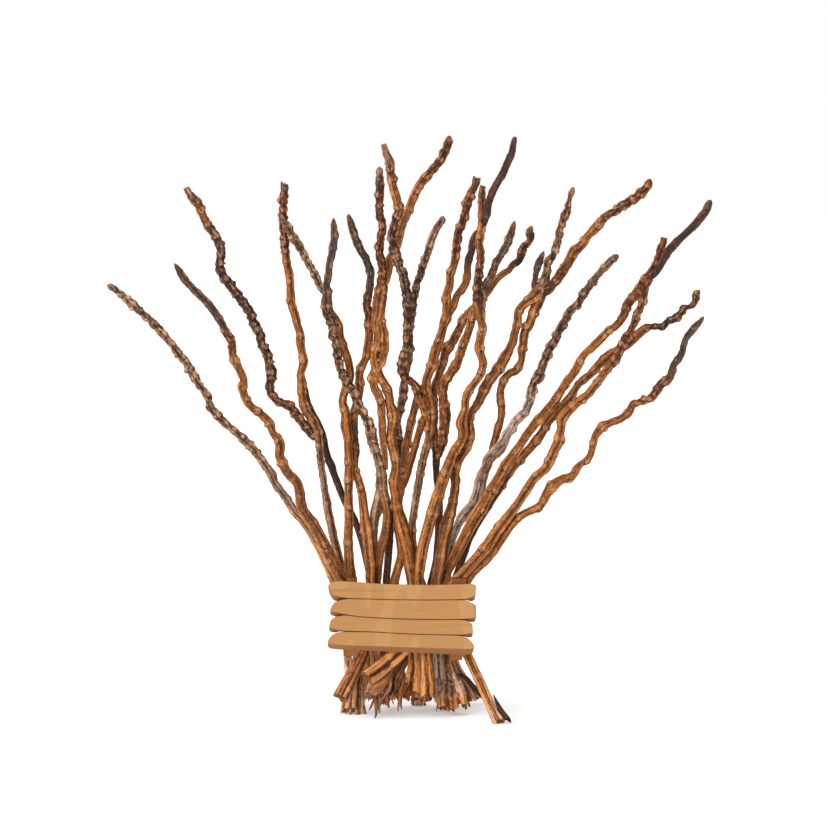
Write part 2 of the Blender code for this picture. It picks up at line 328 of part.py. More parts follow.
STEM_17 = [
    (298, 398, 2), (296, 394.5, 4.5), (291, 388.5, 7.5), (285.5, 382, 8), (281, 376, 7), (278.5, 369.5, 7),
    (277, 362.5, 7.5), (273.5, 355.5, 8), (269, 349.5, 8), (267, 343, 8.5), (264.5, 336, 9.5), (259, 331.5, 10),
    (254, 328, 9), (251, 322.5, 9.5), (248, 317.5, 9), (243.5, 314.5, 7.5), (238, 313, 8.5), (233, 311.5, 7.5),
    (228, 309.5, 8), (225.5, 305, 9), (223.5, 301.5, 9.5), (219.5, 298, 8.5), (214.5, 294.5, 8.5), (209, 292.5, 8),
    (203, 290, 8.5), (198, 287.5, 10), (194, 283, 9.5), (190.5, 278, 8.5), (188.5, 271, 7.5), (187, 264, 7.5),
    (185, 258, 7.5), (181.5, 253, 7), (176, 249.5, 7), (172, 245, 8.5), (169.5, 240, 9), (165, 236, 9),
    (159, 234.5, 9.5), (152.5, 231, 11), (146.5, 225.5, 12), (142, 219.5, 10.5), (139, 213.5, 9.5), (136, 208.5, 9),
    (131, 204.5, 8.5), (125, 202, 8.5), (119, 199, 8.5), (113, 195, 8.5), (107.5, 189, 8.5), (102, 181.5, 8.5),
    (96.5, 173, 9), (91, 165, 9), (85, 157, 9.5), (78.5, 150, 9.5), (71.5, 143, 8.5), (65, 135, 8.5), (57, 122, 9),
    (50, 108, 9), (45, 92, 9), (43, 76, 9), (43, 60, 9), (46, 44, 10), (53, 28, 12), (60, 13, 14),
]

# Each strand: the stem it belongs to, its course, its depth at a few heights (nearer the eye is less), how it hangs
# on the stem's first strand ("joins" at its lower end, "leaves" at its upper end), and whether it stands.
STRANDS = [
    ("stem_01", STEM_01, [(430, 70), (98, 14), (9, 48)], "", True),
    ("stem_02", STEM_02, [(451, -55), (98, -8), (15, -38)], "", False),
    ("stem_03", STEM_03, [(530, 35), (300, 16), (98, 8), (-1, -12)], "", True),
    ("stem_03", STEM_03_LEFT, [(526, -25)], "joins", False),
    ("stem_04", STEM_04, [(345, 28), (98, 17), (16, 40)], "", False),
    ("stem_05", STEM_05, [(496, -25), (405, -12), (300, -6), (98, 4), (12, -12)], "", False),
    ("stem_05", STEM_05_LEFT, [(500, 25)], "joins", False),
    ("stem_05", STEM_05_SPUR, [(146, 12)], "leaves", False),
    ("stem_06", STEM_06, [(408, 2), (285, -2), (98, -6), (13, -62)], "", False),
    ("stem_07", STEM_07, [(500, -60), (430, -5), (315, 6), (98, 0), (16, -32)], "", False),
    ("stem_08", STEM_08, [(547, -30), (420, -18), (260, -15), (98, -12), (14, -30)], "", False),
    ("stem_08", STEM_08_RIGHT, [(578, 35)], "joins", False),
    ("stem_08", STEM_08_LOOP, [(244, -14)], "leaves", False),
    ("stem_09", STEM_09, [(536, 45), (400, 4), (360, -2), (300, -4), (200, 2), (98, 8), (27, -4)], "", False),
    ("stem_09", STEM_09_LEFT, [(569, -70), (400, -35)], "joins", False),
    ("stem_09", STEM_09_RIGHT, [(484, 80)], "joins", False),
    ("stem_10", STEM_10, [(498, 110), (300, 32), (170, 15), (98, 13), (18, 36)], "", False),
    ("stem_11", STEM_11, [(330, 22), (250, 12), (98, 12), (7, 44)], "", True),
    ("stem_11", STEM_11_RIGHT, [(306, 16)], "joins", False),
    ("stem_12", STEM_12, [(528, -25), (415, -20), (290, -18), (98, -17), (57, -24), (-13, -80)], "", True),
    ("stem_12", STEM_12_DARK, [(577, -95)], "joins", False),
    ("stem_12", STEM_12_POINT, [(493, -60)], "joins", False),
    ("stem_12", STEM_12_HOOK, [(488, 25)], "joins", False),
    ("stem_12", STEM_12_INNER, [(395, -6), (364, 9), (340, 11), (258, 10), (98, 10), (3, -4)], "leaves", False),
    ("stem_12", STEM_12_MIDDLE, [(254, 2)], "leaves", False),
    ("stem_13", STEM_13, [(527, 10), (420, 0), (290, -6), (98, 0), (6, 0)], "", True),
    ("stem_13", STEM_13_RIGHT, [(535, -60)], "joins", False),
    ("stem_13", STEM_13_POINT, [(463, 40)], "joins", False),
    ("stem_13", STEM_13_LOOP, [(330, 10), (252, 30)], "leaves", False),
    ("stem_14", STEM_14, [(459, 60), (260, 18), (98, 12), (12, 54)], "", True),
    ("stem_15", STEM_15, [(476, -15), (428, -10), (250, -4), (98, 0), (20, -26)], "", False),
    ("stem_15", STEM_15_DARK, [(514, -75)], "joins", False),
    ("stem_15", STEM_15_RIGHT, [(300, -14), (200, -16), (98, -27), (36, -64)], "leaves", False),
    ("stem_16", STEM_16, [(424, 45), (366, 8), (290, 4), (200, 8), (98, 16), (16, 24)], "", False),
    ("stem_17", STEM_17, [(398, -45), (240, -20), (190, -6), (98, 14), (13, 40)], "", False),
]

# The planks' front outlines and the battens' sides, (across, up) in the same view, clockwise from the upper left.
PLANKS = [
    [(-68, 131), (-21, 128.6), (19, 127.6), (71, 128), (70, 115), (66, 109.8), (20, 112), (-30, 114), (-60, 113.2),
     (-71, 115), (-76, 121), (-76.5, 126), (-72, 130)],
    [(-60, 112.2), (-30, 113), (20, 111), (66, 108.8), (71, 107), (71, 94.5), (67, 91.5), (61, 93), (20, 93.5),
     (-30, 95.6), (-61, 96.6), (-68, 96.8), (-74.6, 99), (-74, 103), (-70, 110)],
    [(-61, 95.6), (-30, 94.6), (20, 92.5), (61, 92), (66, 90.5), (68, 86), (67, 78), (62, 75.2), (56, 77), (20, 78),
     (-30, 80), (-61, 80.6), (-68, 79.6), (-75.6, 83), (-75, 87.6), (-73, 93.5)],
    [(-66, 79.2), (-30, 79), (20, 77), (56, 76), (62, 74), (69, 66), (68, 61), (65, 57), (20, 59.5), (-30, 61.8),
     (-77, 64.6), (-77, 68), (-76.5, 71), (-74, 77)],
]
BATTENS = {
    "sign_batten_left": [(-59, 134.7), (-49, 134.4), (-49.4, 55), (-63, 55.6)],
    "sign_batten_right": [(46.6, 134), (60.4, 133.8), (57, 51.2), (45, 51.4)],
}


def place(across, up, depth):
    """The point in metres that the eye sees at (across, up) on the middle plane, moved along its sight line to depth."""
    far = 1.0 + depth / EYE_BACK
    return np.array([EYE_ACROSS + (across - EYE_ACROSS) * far, depth, EYE_UP + (up - EYE_UP) * far]) * MM


def through(points, step):
    """Rows evenly spaced along the smooth curve through the given rows; the first two columns are its position."""
    rows = np.array(points, float)
    along = np.concatenate([[0.0], np.cumsum(np.hypot(*np.diff(rows[:, :2], axis=0).T))])
    slopes = np.gradient(rows, along, axis=0)
    wanted = np.linspace(0.0, along[-1], max(3, round(along[-1] / step) + 1))
    index = np.clip(np.searchsorted(along, wanted, "right") - 1, 0, len(rows) - 2)
    length = (along[index + 1] - along[index])[:, None]
    t = ((wanted - along[index])[:, None]) / length
    start, end = rows[index], rows[index + 1]
    go, come = slopes[index] * length, slopes[index + 1] * length
    return (
        start * (2 * t**3 - 3 * t**2 + 1)
        + go * (t**3 - 2 * t**2 + t)
        + end * (3 * t**2 - 2 * t**3)
        + come * (t**3 - t**2)
    )


class Strand:
    """One run of a stem, as fine samples along its course with the depth that settling gives them."""

    def __init__(self, stem, course, knots, hang, stands):
        self.stem, self.hang, self.stands = stem, hang, stands
        self.course = course
        rows = through(course, SETTLE_STEP)
        self.across, self.up, self.width = rows.T
        self.knots = sorted(knots)
        self.depth = self.first_depth = None
        self.trunk = None

    def start_depth(self, trunk):
        knots = dict(self.knots)
        if self.hang:
            self.trunk = trunk
            end = -1 if self.hang == "joins" else 0
            off = (trunk.across - self.across[end]) ** 2 + (trunk.up - self.up[end]) ** 2
            self.end, self.seat = end, int(off.argmin())
            knots[self.up[end]] = trunk.first_depth[self.seat]
        heights = sorted(knots)
        self.first_depth = np.interp(self.up, heights, [knots[h] for h in heights])
        self.depth = self.first_depth.copy()

    def reseat(self):
        """Brings the end that grows on the trunk back to the trunk's depth, easing off within 60 mm."""
        if self.trunk is None:
            return
        miss = self.trunk.depth[self.seat] - self.depth[self.end]
        away = np.arange(len(self.depth)) * SETTLE_STEP
        if self.end == -1:
            away = away[::-1]
        self.depth += miss * np.clip(1.0 - away / 60.0, 0.0, 1.0)


def roundness(up):
    """How deep a stem is for its width: nearly round above, flatter towards the cut end."""
    return np.interp(up, [0.0, 60.0, 200.0], [FOOT_ROUNDNESS, FOOT_ROUNDNESS, ROUNDNESS])


def ribbed_out(up):
    """The share by which the ribs of a cut end stand out at this height."""
    return RIB * np.clip((FOOT_TOP - up) / 80.0, 0.0, 1.0)


def meeting_pairs(strands):
    """Samples of different stems that overlap in the front view, with the depth that keeps them apart and its sign.

    Each separate meeting of two strands has its own sign: which of the two starts out in front there.
    """
    which = np.concatenate([np.full(len(s.up), n) for n, s in enumerate(strands)])
    stems = np.array([s.stem for s in strands])[which]
    across = np.concatenate([s.across for s in strands])
    up = np.concatenate([s.up for s in strands])
    half = np.concatenate([s.width for s in strands]) / 2 * (1.0 + ribbed_out(up))
    half += np.where(up < FLARE_TOP, FLARE_GAP, 0.0) + np.where(up > NUB_FROM, NUB_GAP, 0.0)
    half += np.where((across > CROWD_FROM) & (up > SQUEEZE_FROM) & (up < SQUEEZE_TO), CROWD_GAP, 0.0)
    half -= np.where((across > SPARSE_FROM) & (across < SPARSE_TO) & (up > FLARE_TOP) & (up < 150.0), SNUG, 0.0)
    deep = np.concatenate([s.first_depth for s in strands])
    first, second, apart = [], [], []
    for i in range(len(across)):
        off = np.hypot(across[i + 1 :] - across[i], up[i + 1 :] - up[i])
        reach = half[i + 1 :] + half[i] + SETTLE_GAP
        near = np.nonzero((off < reach) & (stems[i + 1 :] != stems[i]))[0]
        first.append(np.full(len(near), i))
        second.append(near + i + 1)
        apart.append(np.sqrt(reach[near] ** 2 - off[near] ** 2))
    first, second, apart = (np.concatenate(part) for part in (first, second, apart))
    deepness = roundness(up) * np.where(up > FOOT_TOP, FACET, 1.0)
    apart *= (deepness[first] + deepness[second]) / 2
    code = which[first] * len(strands) + which[second]
    rank = np.lexsort((first, code))
    first, second, apart, code = first[rank], second[rank], apart[rank], code[rank]
    new_meeting = (np.diff(code) != 0) | (np.diff(first) > MEETING_BREAK)
    meeting = np.concatenate([[0], np.cumsum(new_meeting)])
    lead = np.bincount(meeting, weights=deep[first] - deep[second])
    order = np.where(lead[meeting] >= 0, 1.0, -1.0)
    return first, second, apart, order


def settle(strands):
    """Moves the strands apart in depth only, a little at a time, keeping each one smooth and its forks joined.

    The tie squeezes them together at the waist, and behind the sign none comes further forward than a limit.
    """
    first, second, apart, order = meeting_pairs(strands)
    up = np.concatenate([s.up for s in strands])
    half = np.concatenate([s.width for s in strands]) / 2
    front_limit = np.where((up > SIGN_FROM) & (up < SIGN_TO), FRONT_LIMIT + half, -1e6)
    squeezed = np.where((up > SQUEEZE_FROM) & (up < SQUEEZE_TO), SQUEEZE, 0.0)
    starts = np.cumsum([0] + [len(s.up) for s in strands])
    for turn in range(SETTLE_ROUNDS + LAST_ROUNDS):
        deep = np.concatenate([s.depth for s in strands])
        if turn < SETTLE_ROUNDS:
            deep += squeezed * (SQUEEZE_DEPTH - deep)
        short = apart - order * (deep[first] - deep[second])
        touching = short > 0
        push = short[touching] * order[touching] / 2
        back = np.zeros(len(deep))
        front = np.zeros(len(deep))
        for index, share in ((first[touching], push), (second[touching], -push)):
            np.maximum.at(back, index, share)
            np.minimum.at(front, index, share)
        last = turn >= SETTLE_ROUNDS
        deep += (back + front) * (0.9 if last else 0.6)
        deep = np.maximum(deep, front_limit)
        for n, strand in enumerate(strands):
            moved = deep[starts[n] : starts[n + 1]] - strand.first_depth
            for _ in range(1 if last else 3):
                padded = np.concatenate([moved[:1], moved, moved[-1:]])
                moved = (padded[:-2] + 2 * padded[1:-1] + padded[2:]) / 4
            strand.depth = strand.first_depth + moved
        for strand in strands:
            strand.reseat()
    deep = np.concatenate([s.depth for s in strands])
    return float((apart - order * (deep[first] - deep[second])).max())


def settled_strands():
    strands = [Strand(*row) for row in STRANDS]
    trunks = {}
    for strand in strands:
        trunks.setdefault(strand.stem, strand)
        strand.start_depth(trunks[strand.stem])
    left = settle(strands)
    print(f"the stems still meet by {left:.2f} mm of the {SETTLE_GAP} mm gap")
    return strands


def ring_rows(strand):
    """Where the strand's rings go: (across, up, width, depth), closer together above the foot than in it."""
    deep = np.column_stack([strand.across, strand.up, strand.width, strand.depth])
    has_foot = strand.up[-1] < FOOT_TOP / 2
    cut = int(np.argmax(strand.up < FOOT_TOP)) if has_foot else len(deep) - 1
    every = round(RING_STEP / SETTLE_STEP * 2) / 2
    upper = np.unique(np.round(np.linspace(0, cut, max(2, round(cut / every) + 1))).astype(int))
    if not has_foot:
        return deep[upper], len(upper)
    below = (len(deep) - 1 - cut) * SETTLE_STEP
    lower = np.round(np.linspace(cut, len(deep) - 1, round(below / FOOT_RING_STEP) + 1)).astype(int)[1:]
    return deep[np.concatenate([upper, lower])], len(upper)


def ring_points(row, along, sides, draw, side):
    """One ring of the loft. Thin rings carry a nub on alternate sides, foot rings carry ribs."""
    across, up, width, depth = row
    middle = Vector(place(across, up, depth))
    out = along.cross(Vector((0, 1, 0))).normalized()
    through_ring = out.cross(along).normalized()
    half = width / 2 * (1.0 + depth / EYE_BACK) * MM
    flat = float(roundness(up))
    ribbed = float(ribbed_out(up))
    points = []
    for k in range(sides):
        angle = 2 * math.pi * k / sides
        radius = half
        if sides == FOOT_SIDES:
            radius *= 1.0 + (ribbed if k % 2 == 0 else -ribbed)
        nub_here = k == (0 if side else sides // 2)
        if sides == THIN_SIDES and nub_here and up > NUB_FROM and width > 6:
            radius += NUB * MM * draw.uniform(0.2, 1.0)
        points.append(middle + (out * math.cos(angle) + through_ring * math.sin(angle) * flat) * radius)
    return points


def bridge(bm, upper, lower):
    """Joins two rings with triangles; the lower one may have twice the points of the upper."""
    count = len(upper)
    for k in range(count):
        a, b = upper[k], upper[(k + 1) % count]
        if len(lower) == count:
            c, d = lower[k], lower[(k + 1) % count]
            bm.faces.new((a, b, d))
            bm.faces.new((a, d, c))
        else:
            c, d, e = lower[2 * k], lower[2 * k + 1], lower[(2 * k + 2) % len(lower)]
            bm.faces.new((a, d, c))
            bm.faces.new((a, b, d))
            bm.faces.new((b, e, d))


def fray(ring, along, draw):
    """Draws the fibres of a cut end out to uneven lengths, never below the surface it stands on."""
    frayed = []
    for k, point in enumerate(ring):
        length = draw.uniform(-FRAY, FRAY) + (FRAY if k % 2 == 0 else 0.0)
        moved = point + along * length * MM
        moved.z = max(moved.z, 0.4 * MM)
        frayed.append(moved)
    return frayed


def strand_mesh(strand, seed):
    """The strand as one closed mesh: its rings bridged, a point or cut at the tip, a ragged hollow at the foot."""
    draw = random.Random(seed)
    rows, thin_count = ring_rows(strand)
    middles = [Vector(place(r[0], r[1], r[3])) for r in rows]
    bm = bmesh.new()
    rings = []
    for n, row in enumerate(rows):
        along = (middles[min(n + 1, len(rows) - 1)] - middles[max(n - 1, 0)]).normalized()
        sides = THIN_SIDES if n < thin_count else FOOT_SIDES
        points = ring_points(row, along, sides, draw, n % 2 == 0)
        last = n == len(rows) - 1
        if last and strand.stands:
            points = [p - along * (p.z / along.z) for p in points]
        elif last and sides == FOOT_SIDES:
            points = fray(points, along, draw)
        rings.append([bm.verts.new(p) for p in points])
        if n:
            bridge(bm, rings[-2], rings[-1])
    tip = bm.verts.new(middles[0] - (middles[1] - middles[0]).normalized() * rows[0][2] * 0.3 * MM)
    for k in range(THIN_SIDES):
        bm.faces.new((tip, rings[0][(k + 1) % THIN_SIDES], rings[0][k]))
    end = rings[-1]
    centre = sum((v.co for v in end), Vector()) / len(end)
    if not strand.stands and len(end) == FOOT_SIDES:
        centre -= (middles[-1] - middles[-2]).normalized() * HOLLOW * MM
    cap = bm.verts.new(centre)
    for k in range(len(end)):
        bm.faces.new((cap, end[k], end[(k + 1) % len(end)]))
    bmesh.ops.recalc_face_normals(bm, faces=bm.faces)
    mesh = bpy.data.meshes.new(strand.stem)
    bm.to_mesh(mesh)
    bm.free()
    return mesh


def new_object(name, mesh, collection, material):
    obj = bpy.data.objects.new(name, mesh)
    collection.objects.link(obj)
    mesh.materials.clear()
    mesh.materials.append(material)
    return obj


def join_union(base, others):
    """Joins the other strands of a stem to its first one, for good."""
    for other in others:
        union = base.modifiers.new("join", "BOOLEAN")
        union.operation = "UNION"
        union.object = other
    bpy.context.view_layer.update()
    graph = bpy.context.evaluated_depsgraph_get()
    joined = bpy.data.meshes.new_from_object(base.evaluated_get(graph))
    base.modifiers.clear()
    base.data = joined
    for other in others:
        bpy.data.objects.remove(other)


def material(name, colour, roughness_value):
    made = bpy.data.materials.new(name)
    made.use_nodes = True
    shader = made.node_tree.nodes["Principled BSDF"]
    shader.inputs["Base Color"].default_value = (*colour, 1.0)
    shader.inputs["Roughness"].default_value = roughness_value
    shader.inputs["Metallic"].default_value = 0.0
    return made


def make_stems(strands, collection):
    """One object for each stem, its strands joined where they grow together."""
    bark = material("dried_stem", (0.30, 0.13, 0.05), 0.55)
    stems = {}
    for n, strand in enumerate(strands):
        obj = new_object(f"{strand.stem}_{n}", strand_mesh(strand, n), collection, bark)
        stems.setdefault(strand.stem, []).append(obj)
    for name, objects in stems.items():
        if len(objects) > 1:
            join_union(objects[0], objects[1:])
        objects[0].name = name
        objects[0].data.name = name


def convex_outline(points):
    """The corners of the smallest convex outline round the points, anticlockwise."""
    ordered = sorted(set(map(tuple, points)))
    sides = []
    for run in (ordered, ordered[::-1]):
        chain = []
        for p in run:
            while len(chain) > 1 and np.cross(
                np.subtract(chain[-1], chain[-2]), np.subtract(p, chain[-1])
            ) <= 0:
                chain.pop()
            chain.append(p)
        sides += chain[:-1]
    return np.array(sides)


def batten_plane(strands):
    """The depth of the battens' backs: lying on the front-most stem that passes behind either of them."""
    front = []
    for corners in BATTENS.values():
        left, right = min(c[0] for c in corners) - 1.0, max(c[0] for c in corners) + 1.0
        low, high = min(c[1] for c in corners), max(c[1] for c in corners)
        for strand in strands:
            half = strand.width / 2
            behind = (strand.across + half > left) & (strand.across - half < right)
            behind &= (strand.up > low - 3.0) & (strand.up < high + 3.0)
            front += list((strand.depth - half * roundness(strand.up) * RIBBED_OUT)[behind])
    return min(front) - TOUCH_GAP


def tie_route(strands, batten_back):
    """The closed line that the twine's middle follows: tight round the stems and through the battens' notches."""
    reach = TWINE / 2 + TIE_GAP
    round_stem = []
    band = TWINE * TIE_TURNS / 2 + 6.0
    for strand in strands:
        for across, up, width, depth in zip(strand.across, strand.up, strand.width, strand.depth):
            if abs(up - TIE_UP) > band:
                continue
            x, y, _ = place(across, up, depth) / MM
            half = width / 2 * RIBBED_OUT
            flat = half * float(roundness(up))
            across_reach = half + reach
            deep_reach = flat + reach
            for turn in range(TIE_CORNERS):
                angle = math.tau * turn / TIE_CORNERS
                round_stem.append((x + across_reach * math.cos(angle), y + deep_reach * math.sin(angle)))
    front = batten_back - BATTEN_THICK + NOTCH_DEEP - reach
    for corners in BATTENS.values():
        for side in (min(c[0] for c in corners) - reach, max(c[0] for c in corners) + reach):
            round_stem.append((side * (1 + front / EYE_BACK), front))
            round_stem.append((side * (1 + front / EYE_BACK), batten_back))
    corners = convex_outline(round_stem)
    kept = [corners[0]]
    for corner in corners[1:]:
        if np.hypot(*(corner - kept[-1])) > TIE_CORNER_APART:
            kept.append(corner)
    return np.array(kept)


def make_tie(strands, batten_back, collection):
    """Three turns of twine as one ribbed band, swept round the route."""
    twine = material("twine", (0.42, 0.30, 0.17), 0.9)
    route = tie_route(strands, batten_back)
    middle_up = place(0, TIE_UP, 0)[2] / MM
    section = []
    for turn in range(TIE_TURNS):
        height = (turn - (TIE_TURNS - 1) / 2) * TWINE
        section += [(1.0, height - TWINE * 0.25), (1.0, height + TWINE * 0.25)]
        if turn < TIE_TURNS - 1:
            section.append((0.45, height + TWINE * 0.5))
    inner = [(-1.0, (TIE_TURNS - 1) / 2 * TWINE + TWINE * 0.25), (-1.0, -(TIE_TURNS - 1) / 2 * TWINE - TWINE * 0.25)]
    section += inner
    bm = bmesh.new()
    rings = []
    for n, (x, y) in enumerate(route):
        ahead = route[(n + 1) % len(route)] - route[n - 1]
        outward = np.array([ahead[1], -ahead[0]]) / np.hypot(*ahead)
        ring = []
        for side, height in section:
            px, py = np.array([x, y]) + outward * side * TWINE / 2
            ring.append(bm.verts.new(Vector((px, py, middle_up + height)) * MM))
        rings.append(ring)
    for n, ring in enumerate(rings):
        bridge(bm, ring, rings[(n + 1) % len(rings)])
    bmesh.ops.recalc_face_normals(bm, faces=bm.faces)
    mesh = bpy.data.meshes.new("tie_twine")
    bm.to_mesh(mesh)
    bm.free()
    new_object("tie_twine", mesh, collection, twine)


def outline_slab(name, outline, front, back, chamfer, collection, finish):
    """A flat board from its outline as seen from the eye, standing upright between two depths."""
    curve = bpy.data.curves.new(name, "CURVE")
    curve.dimensions = "2D"
    curve.fill_mode = "BOTH"
    curve.extrude = ((back - front) / 2 - chamfer) * MM
    curve.bevel_depth = chamfer * MM
    curve.bevel_resolution = 0
    curve.offset = -chamfer * MM
    spline = curve.splines.new("POLY")
    spline.use_cyclic_u = True
    spline.points.add(len(outline) - 1)
    for point, (across, up) in zip(spline.points, outline):
        x, _, z = place(across, up, front)
        point.co = (x, z, 0, 1)
    holder = bpy.data.objects.new(name + "_outline", curve)
    collection.objects.link(holder)
    holder.rotation_euler = (math.pi / 2, 0, 0)
    holder.location = (0, (front + back) / 2 * MM, 0)
    bpy.context.view_layer.update()
    graph = bpy.context.evaluated_depsgraph_get()
    mesh = bpy.data.meshes.new_from_object(holder.evaluated_get(graph))
    mesh.transform(holder.matrix_world)
    bm = bmesh.new()
    bm.from_mesh(mesh)
    bmesh.ops.remove_doubles(bm, verts=bm.verts, dist=0.00002)
    bmesh.ops.recalc_face_normals(bm, faces=bm.faces)
    bm.to_mesh(mesh)
    bm.free()
    bpy.data.objects.remove(holder)
    return new_object(name, mesh, collection, finish)


def make_sign(batten_back, collection, cutters):
    """Four boards on two battens; the battens are notched in front where the twine passes."""
    board = material("sign_board", (0.60, 0.36, 0.17), 0.6)
    strut = material("sign_batten", (0.29, 0.12, 0.04), 0.65)
    batten_front = batten_back - BATTEN_THICK
    plank_back = batten_front - TOUCH_GAP
    for n, outline in enumerate(PLANKS):
        outline_slab(
            f"sign_plank_{n + 1}", outline, plank_back - PLANK_THICK, plank_back, PLANK_CHAMFER, collection, board
        )
    for name, outline in BATTENS.items():
        batten = outline_slab(name, outline, batten_front, batten_back, 0.0, collection, strut)
        middle = sum(c[0] for c in outline) / 4
        bpy.ops.mesh.primitive_cube_add(size=1)
        notch = bpy.context.object
        notch.name = name + "_notch"
        tall = TWINE * TIE_TURNS + 2.0
        notch.scale = (30 * MM, 2 * NOTCH_DEEP * MM, tall * MM)
        notch.location = (middle * MM, batten_front * MM, place(0, TIE_UP, 0)[2])
        bpy.context.collection.objects.unlink(notch)
        cutters.objects.link(notch)
        notch.hide_render = True
        notch.display_type = "WIRE"
        cut = batten.modifiers.new("notch", "BOOLEAN")
        cut.operation = "DIFFERENCE"
        cut.object = notch


def centre_on_base(collections):
    """Moves everything so that the origin is at the middle of the underside of the whole bunch."""
    bpy.context.view_layer.update()
    corners = [
        obj.matrix_world @ Vector(corner) for obj in collections[0].objects for corner in obj.bound_box
    ]
    low = [min(c[k] for c in corners) for k in range(3)]
    high = [max(c[k] for c in corners) for k in range(3)]
    shift = Vector(((low[0] + high[0]) / 2, (low[1] + high[1]) / 2, 0.0))
    for collection in collections:
        for obj in collection.objects:
            obj.location -= shift


def main():
    for obj in list(bpy.data.objects):
        bpy.data.objects.remove(obj)
    bunch = bpy.data.collections.new("dried_coconut_stem_bunch")
    cutters = bpy.data.collections.new("cutters")
    bpy.context.scene.collection.children.link(bunch)
    bpy.context.scene.collection.children.link(cutters)
    strands = settled_strands()
    make_stems(strands, bunch)
    batten_back = batten_plane(strands)
    make_tie(strands, batten_back, bunch)
    make_sign(batten_back, bunch, cutters)
    centre_on_base((bunch, cutters))


main()
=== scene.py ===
"""Looks for the tied bunch of dried coconut flower stems: bark, scars, ragged cut ends, twine, a board sign.

The stems follow the same courses as the solids they dress, settled against each other in the same way, and
are then worked over finely: nubs and flower scars above, long ribs and fibres towards the cut ends. Lengths
are in millimetres and angles in radians, unless a comment says otherwise. A row of pairs such as (height,
share) is a value that changes evenly from one pair to the next.
"""

import math

import bpy
import numpy as np
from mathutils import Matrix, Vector, noise


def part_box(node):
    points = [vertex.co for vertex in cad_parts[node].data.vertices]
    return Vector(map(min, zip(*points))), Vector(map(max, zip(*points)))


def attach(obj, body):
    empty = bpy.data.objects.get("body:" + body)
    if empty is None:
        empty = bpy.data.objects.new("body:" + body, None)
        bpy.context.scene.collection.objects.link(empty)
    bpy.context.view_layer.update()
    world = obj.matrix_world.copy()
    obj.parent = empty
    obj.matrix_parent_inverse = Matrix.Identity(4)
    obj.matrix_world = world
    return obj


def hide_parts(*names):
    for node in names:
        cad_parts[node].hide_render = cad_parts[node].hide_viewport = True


MM = 0.001

# The eye that the courses were read from, in front of the bunch's middle and above the surface, and its aim.
EYE_BACK = 3000.0
EYE_ACROSS = 9.0
EYE_UP = 508.0
AIM_ACROSS = 8.3
AIM_UP = 300.0
FRAME_WIDE = 830.0
SENSOR = 36.0
NEAREST, FURTHEST = 0.05, 100.0  # metres

# The light: a room that brightens towards one side, a soft lamp high behind, and a floor that glows a little.
ROOM_LIGHT = (0.06, 2.5)
ROOM_FADE = (-0.1, 0.95)
ROOM_WAY = (-0.8, -0.58, 0.16)
LAMP_LIGHT = 1.05
LAMP_SOFT = 62.0  # degrees
LAMP_WAY = (-0.42, -0.3, -1.0)
FLOOR_WIDE = 60.0  # metres
FLOOR_PALE = 0.95
FLOOR_GLOW = 0.25

# A stem's section: nearly round above, and flatter, ribbed and flared towards its cut end.
ROUNDNESS = 0.92
FOOT_ROUNDNESS = 0.78
FLAT_BELOW, ROUND_ABOVE = 60.0, 200.0
FACET = 0.92
FOOT_TOP = 118.0
FLARE_TOP = 60.0
RIB = 0.10
RIB_FADE = 80.0

# More or less room than usual between the stems, and where.
FLARE_GAP = 0.3
NUB_FROM, NUB_GAP = 190.0, 0.55
CROWD_FROM, CROWD_GAP = 20.0, 0.25
SPARSE_FROM, SPARSE_TO, SPARSE_TOP = -22.0, 14.0, 150.0
SNUG = 0.45

# How the stems are settled against each other.
SETTLE_STEP = 3.0
SETTLE_GAP = 0.6
SETTLE_ROUNDS, SETTLE_PUSH, SETTLE_SMOOTHING = 1100, 0.6, 3
LAST_ROUNDS, LAST_PUSH, LAST_SMOOTHING = 300, 0.9, 1
MEETING_BREAK = 5
RESEAT_REACH = 60.0
SIGN_FROM, SIGN_TO = 47.0, 138.0
FRONT_LIMIT = -36.0
NO_LIMIT = -1e6
SQUEEZE_FROM, SQUEEZE_TO = 82.0, 118.0
SQUEEZE_DEPTH = -6.0
SQUEEZE = 0.02

# The tie: three turns of two-ply twine laid side by side round the waist.
TIE_UP = 96.0
TIE_TURNS = 3
TIE_GAP = 0.35
TIE_NEAR = 6.0
TIE_CORNERS = 16
TIE_CORNER_APART = 0.8
RIBBED_OUT = 1.03
TWINE = 3.6
TWINE_STEP = 0.9
TWINE_SIDES = 16
TWINE_SMOOTHING = 3
TWINE_LAY = 7.5
TWINE_PLY = (0.86, 0.13)

# The sign.
BATTEN_THICK = 11.0
BATTEN_MARGIN = 1.0
BATTEN_REACH = 3.0
NOTCH_DEEP = 5.2
PLANK_THICK = 7.0
TOUCH_GAP = 0.3
BOARD_EDGE = 0.45
BOARD_LAP = 0.35
CORNER_CUT = 0.2
CORNER_ROUNDS = 2

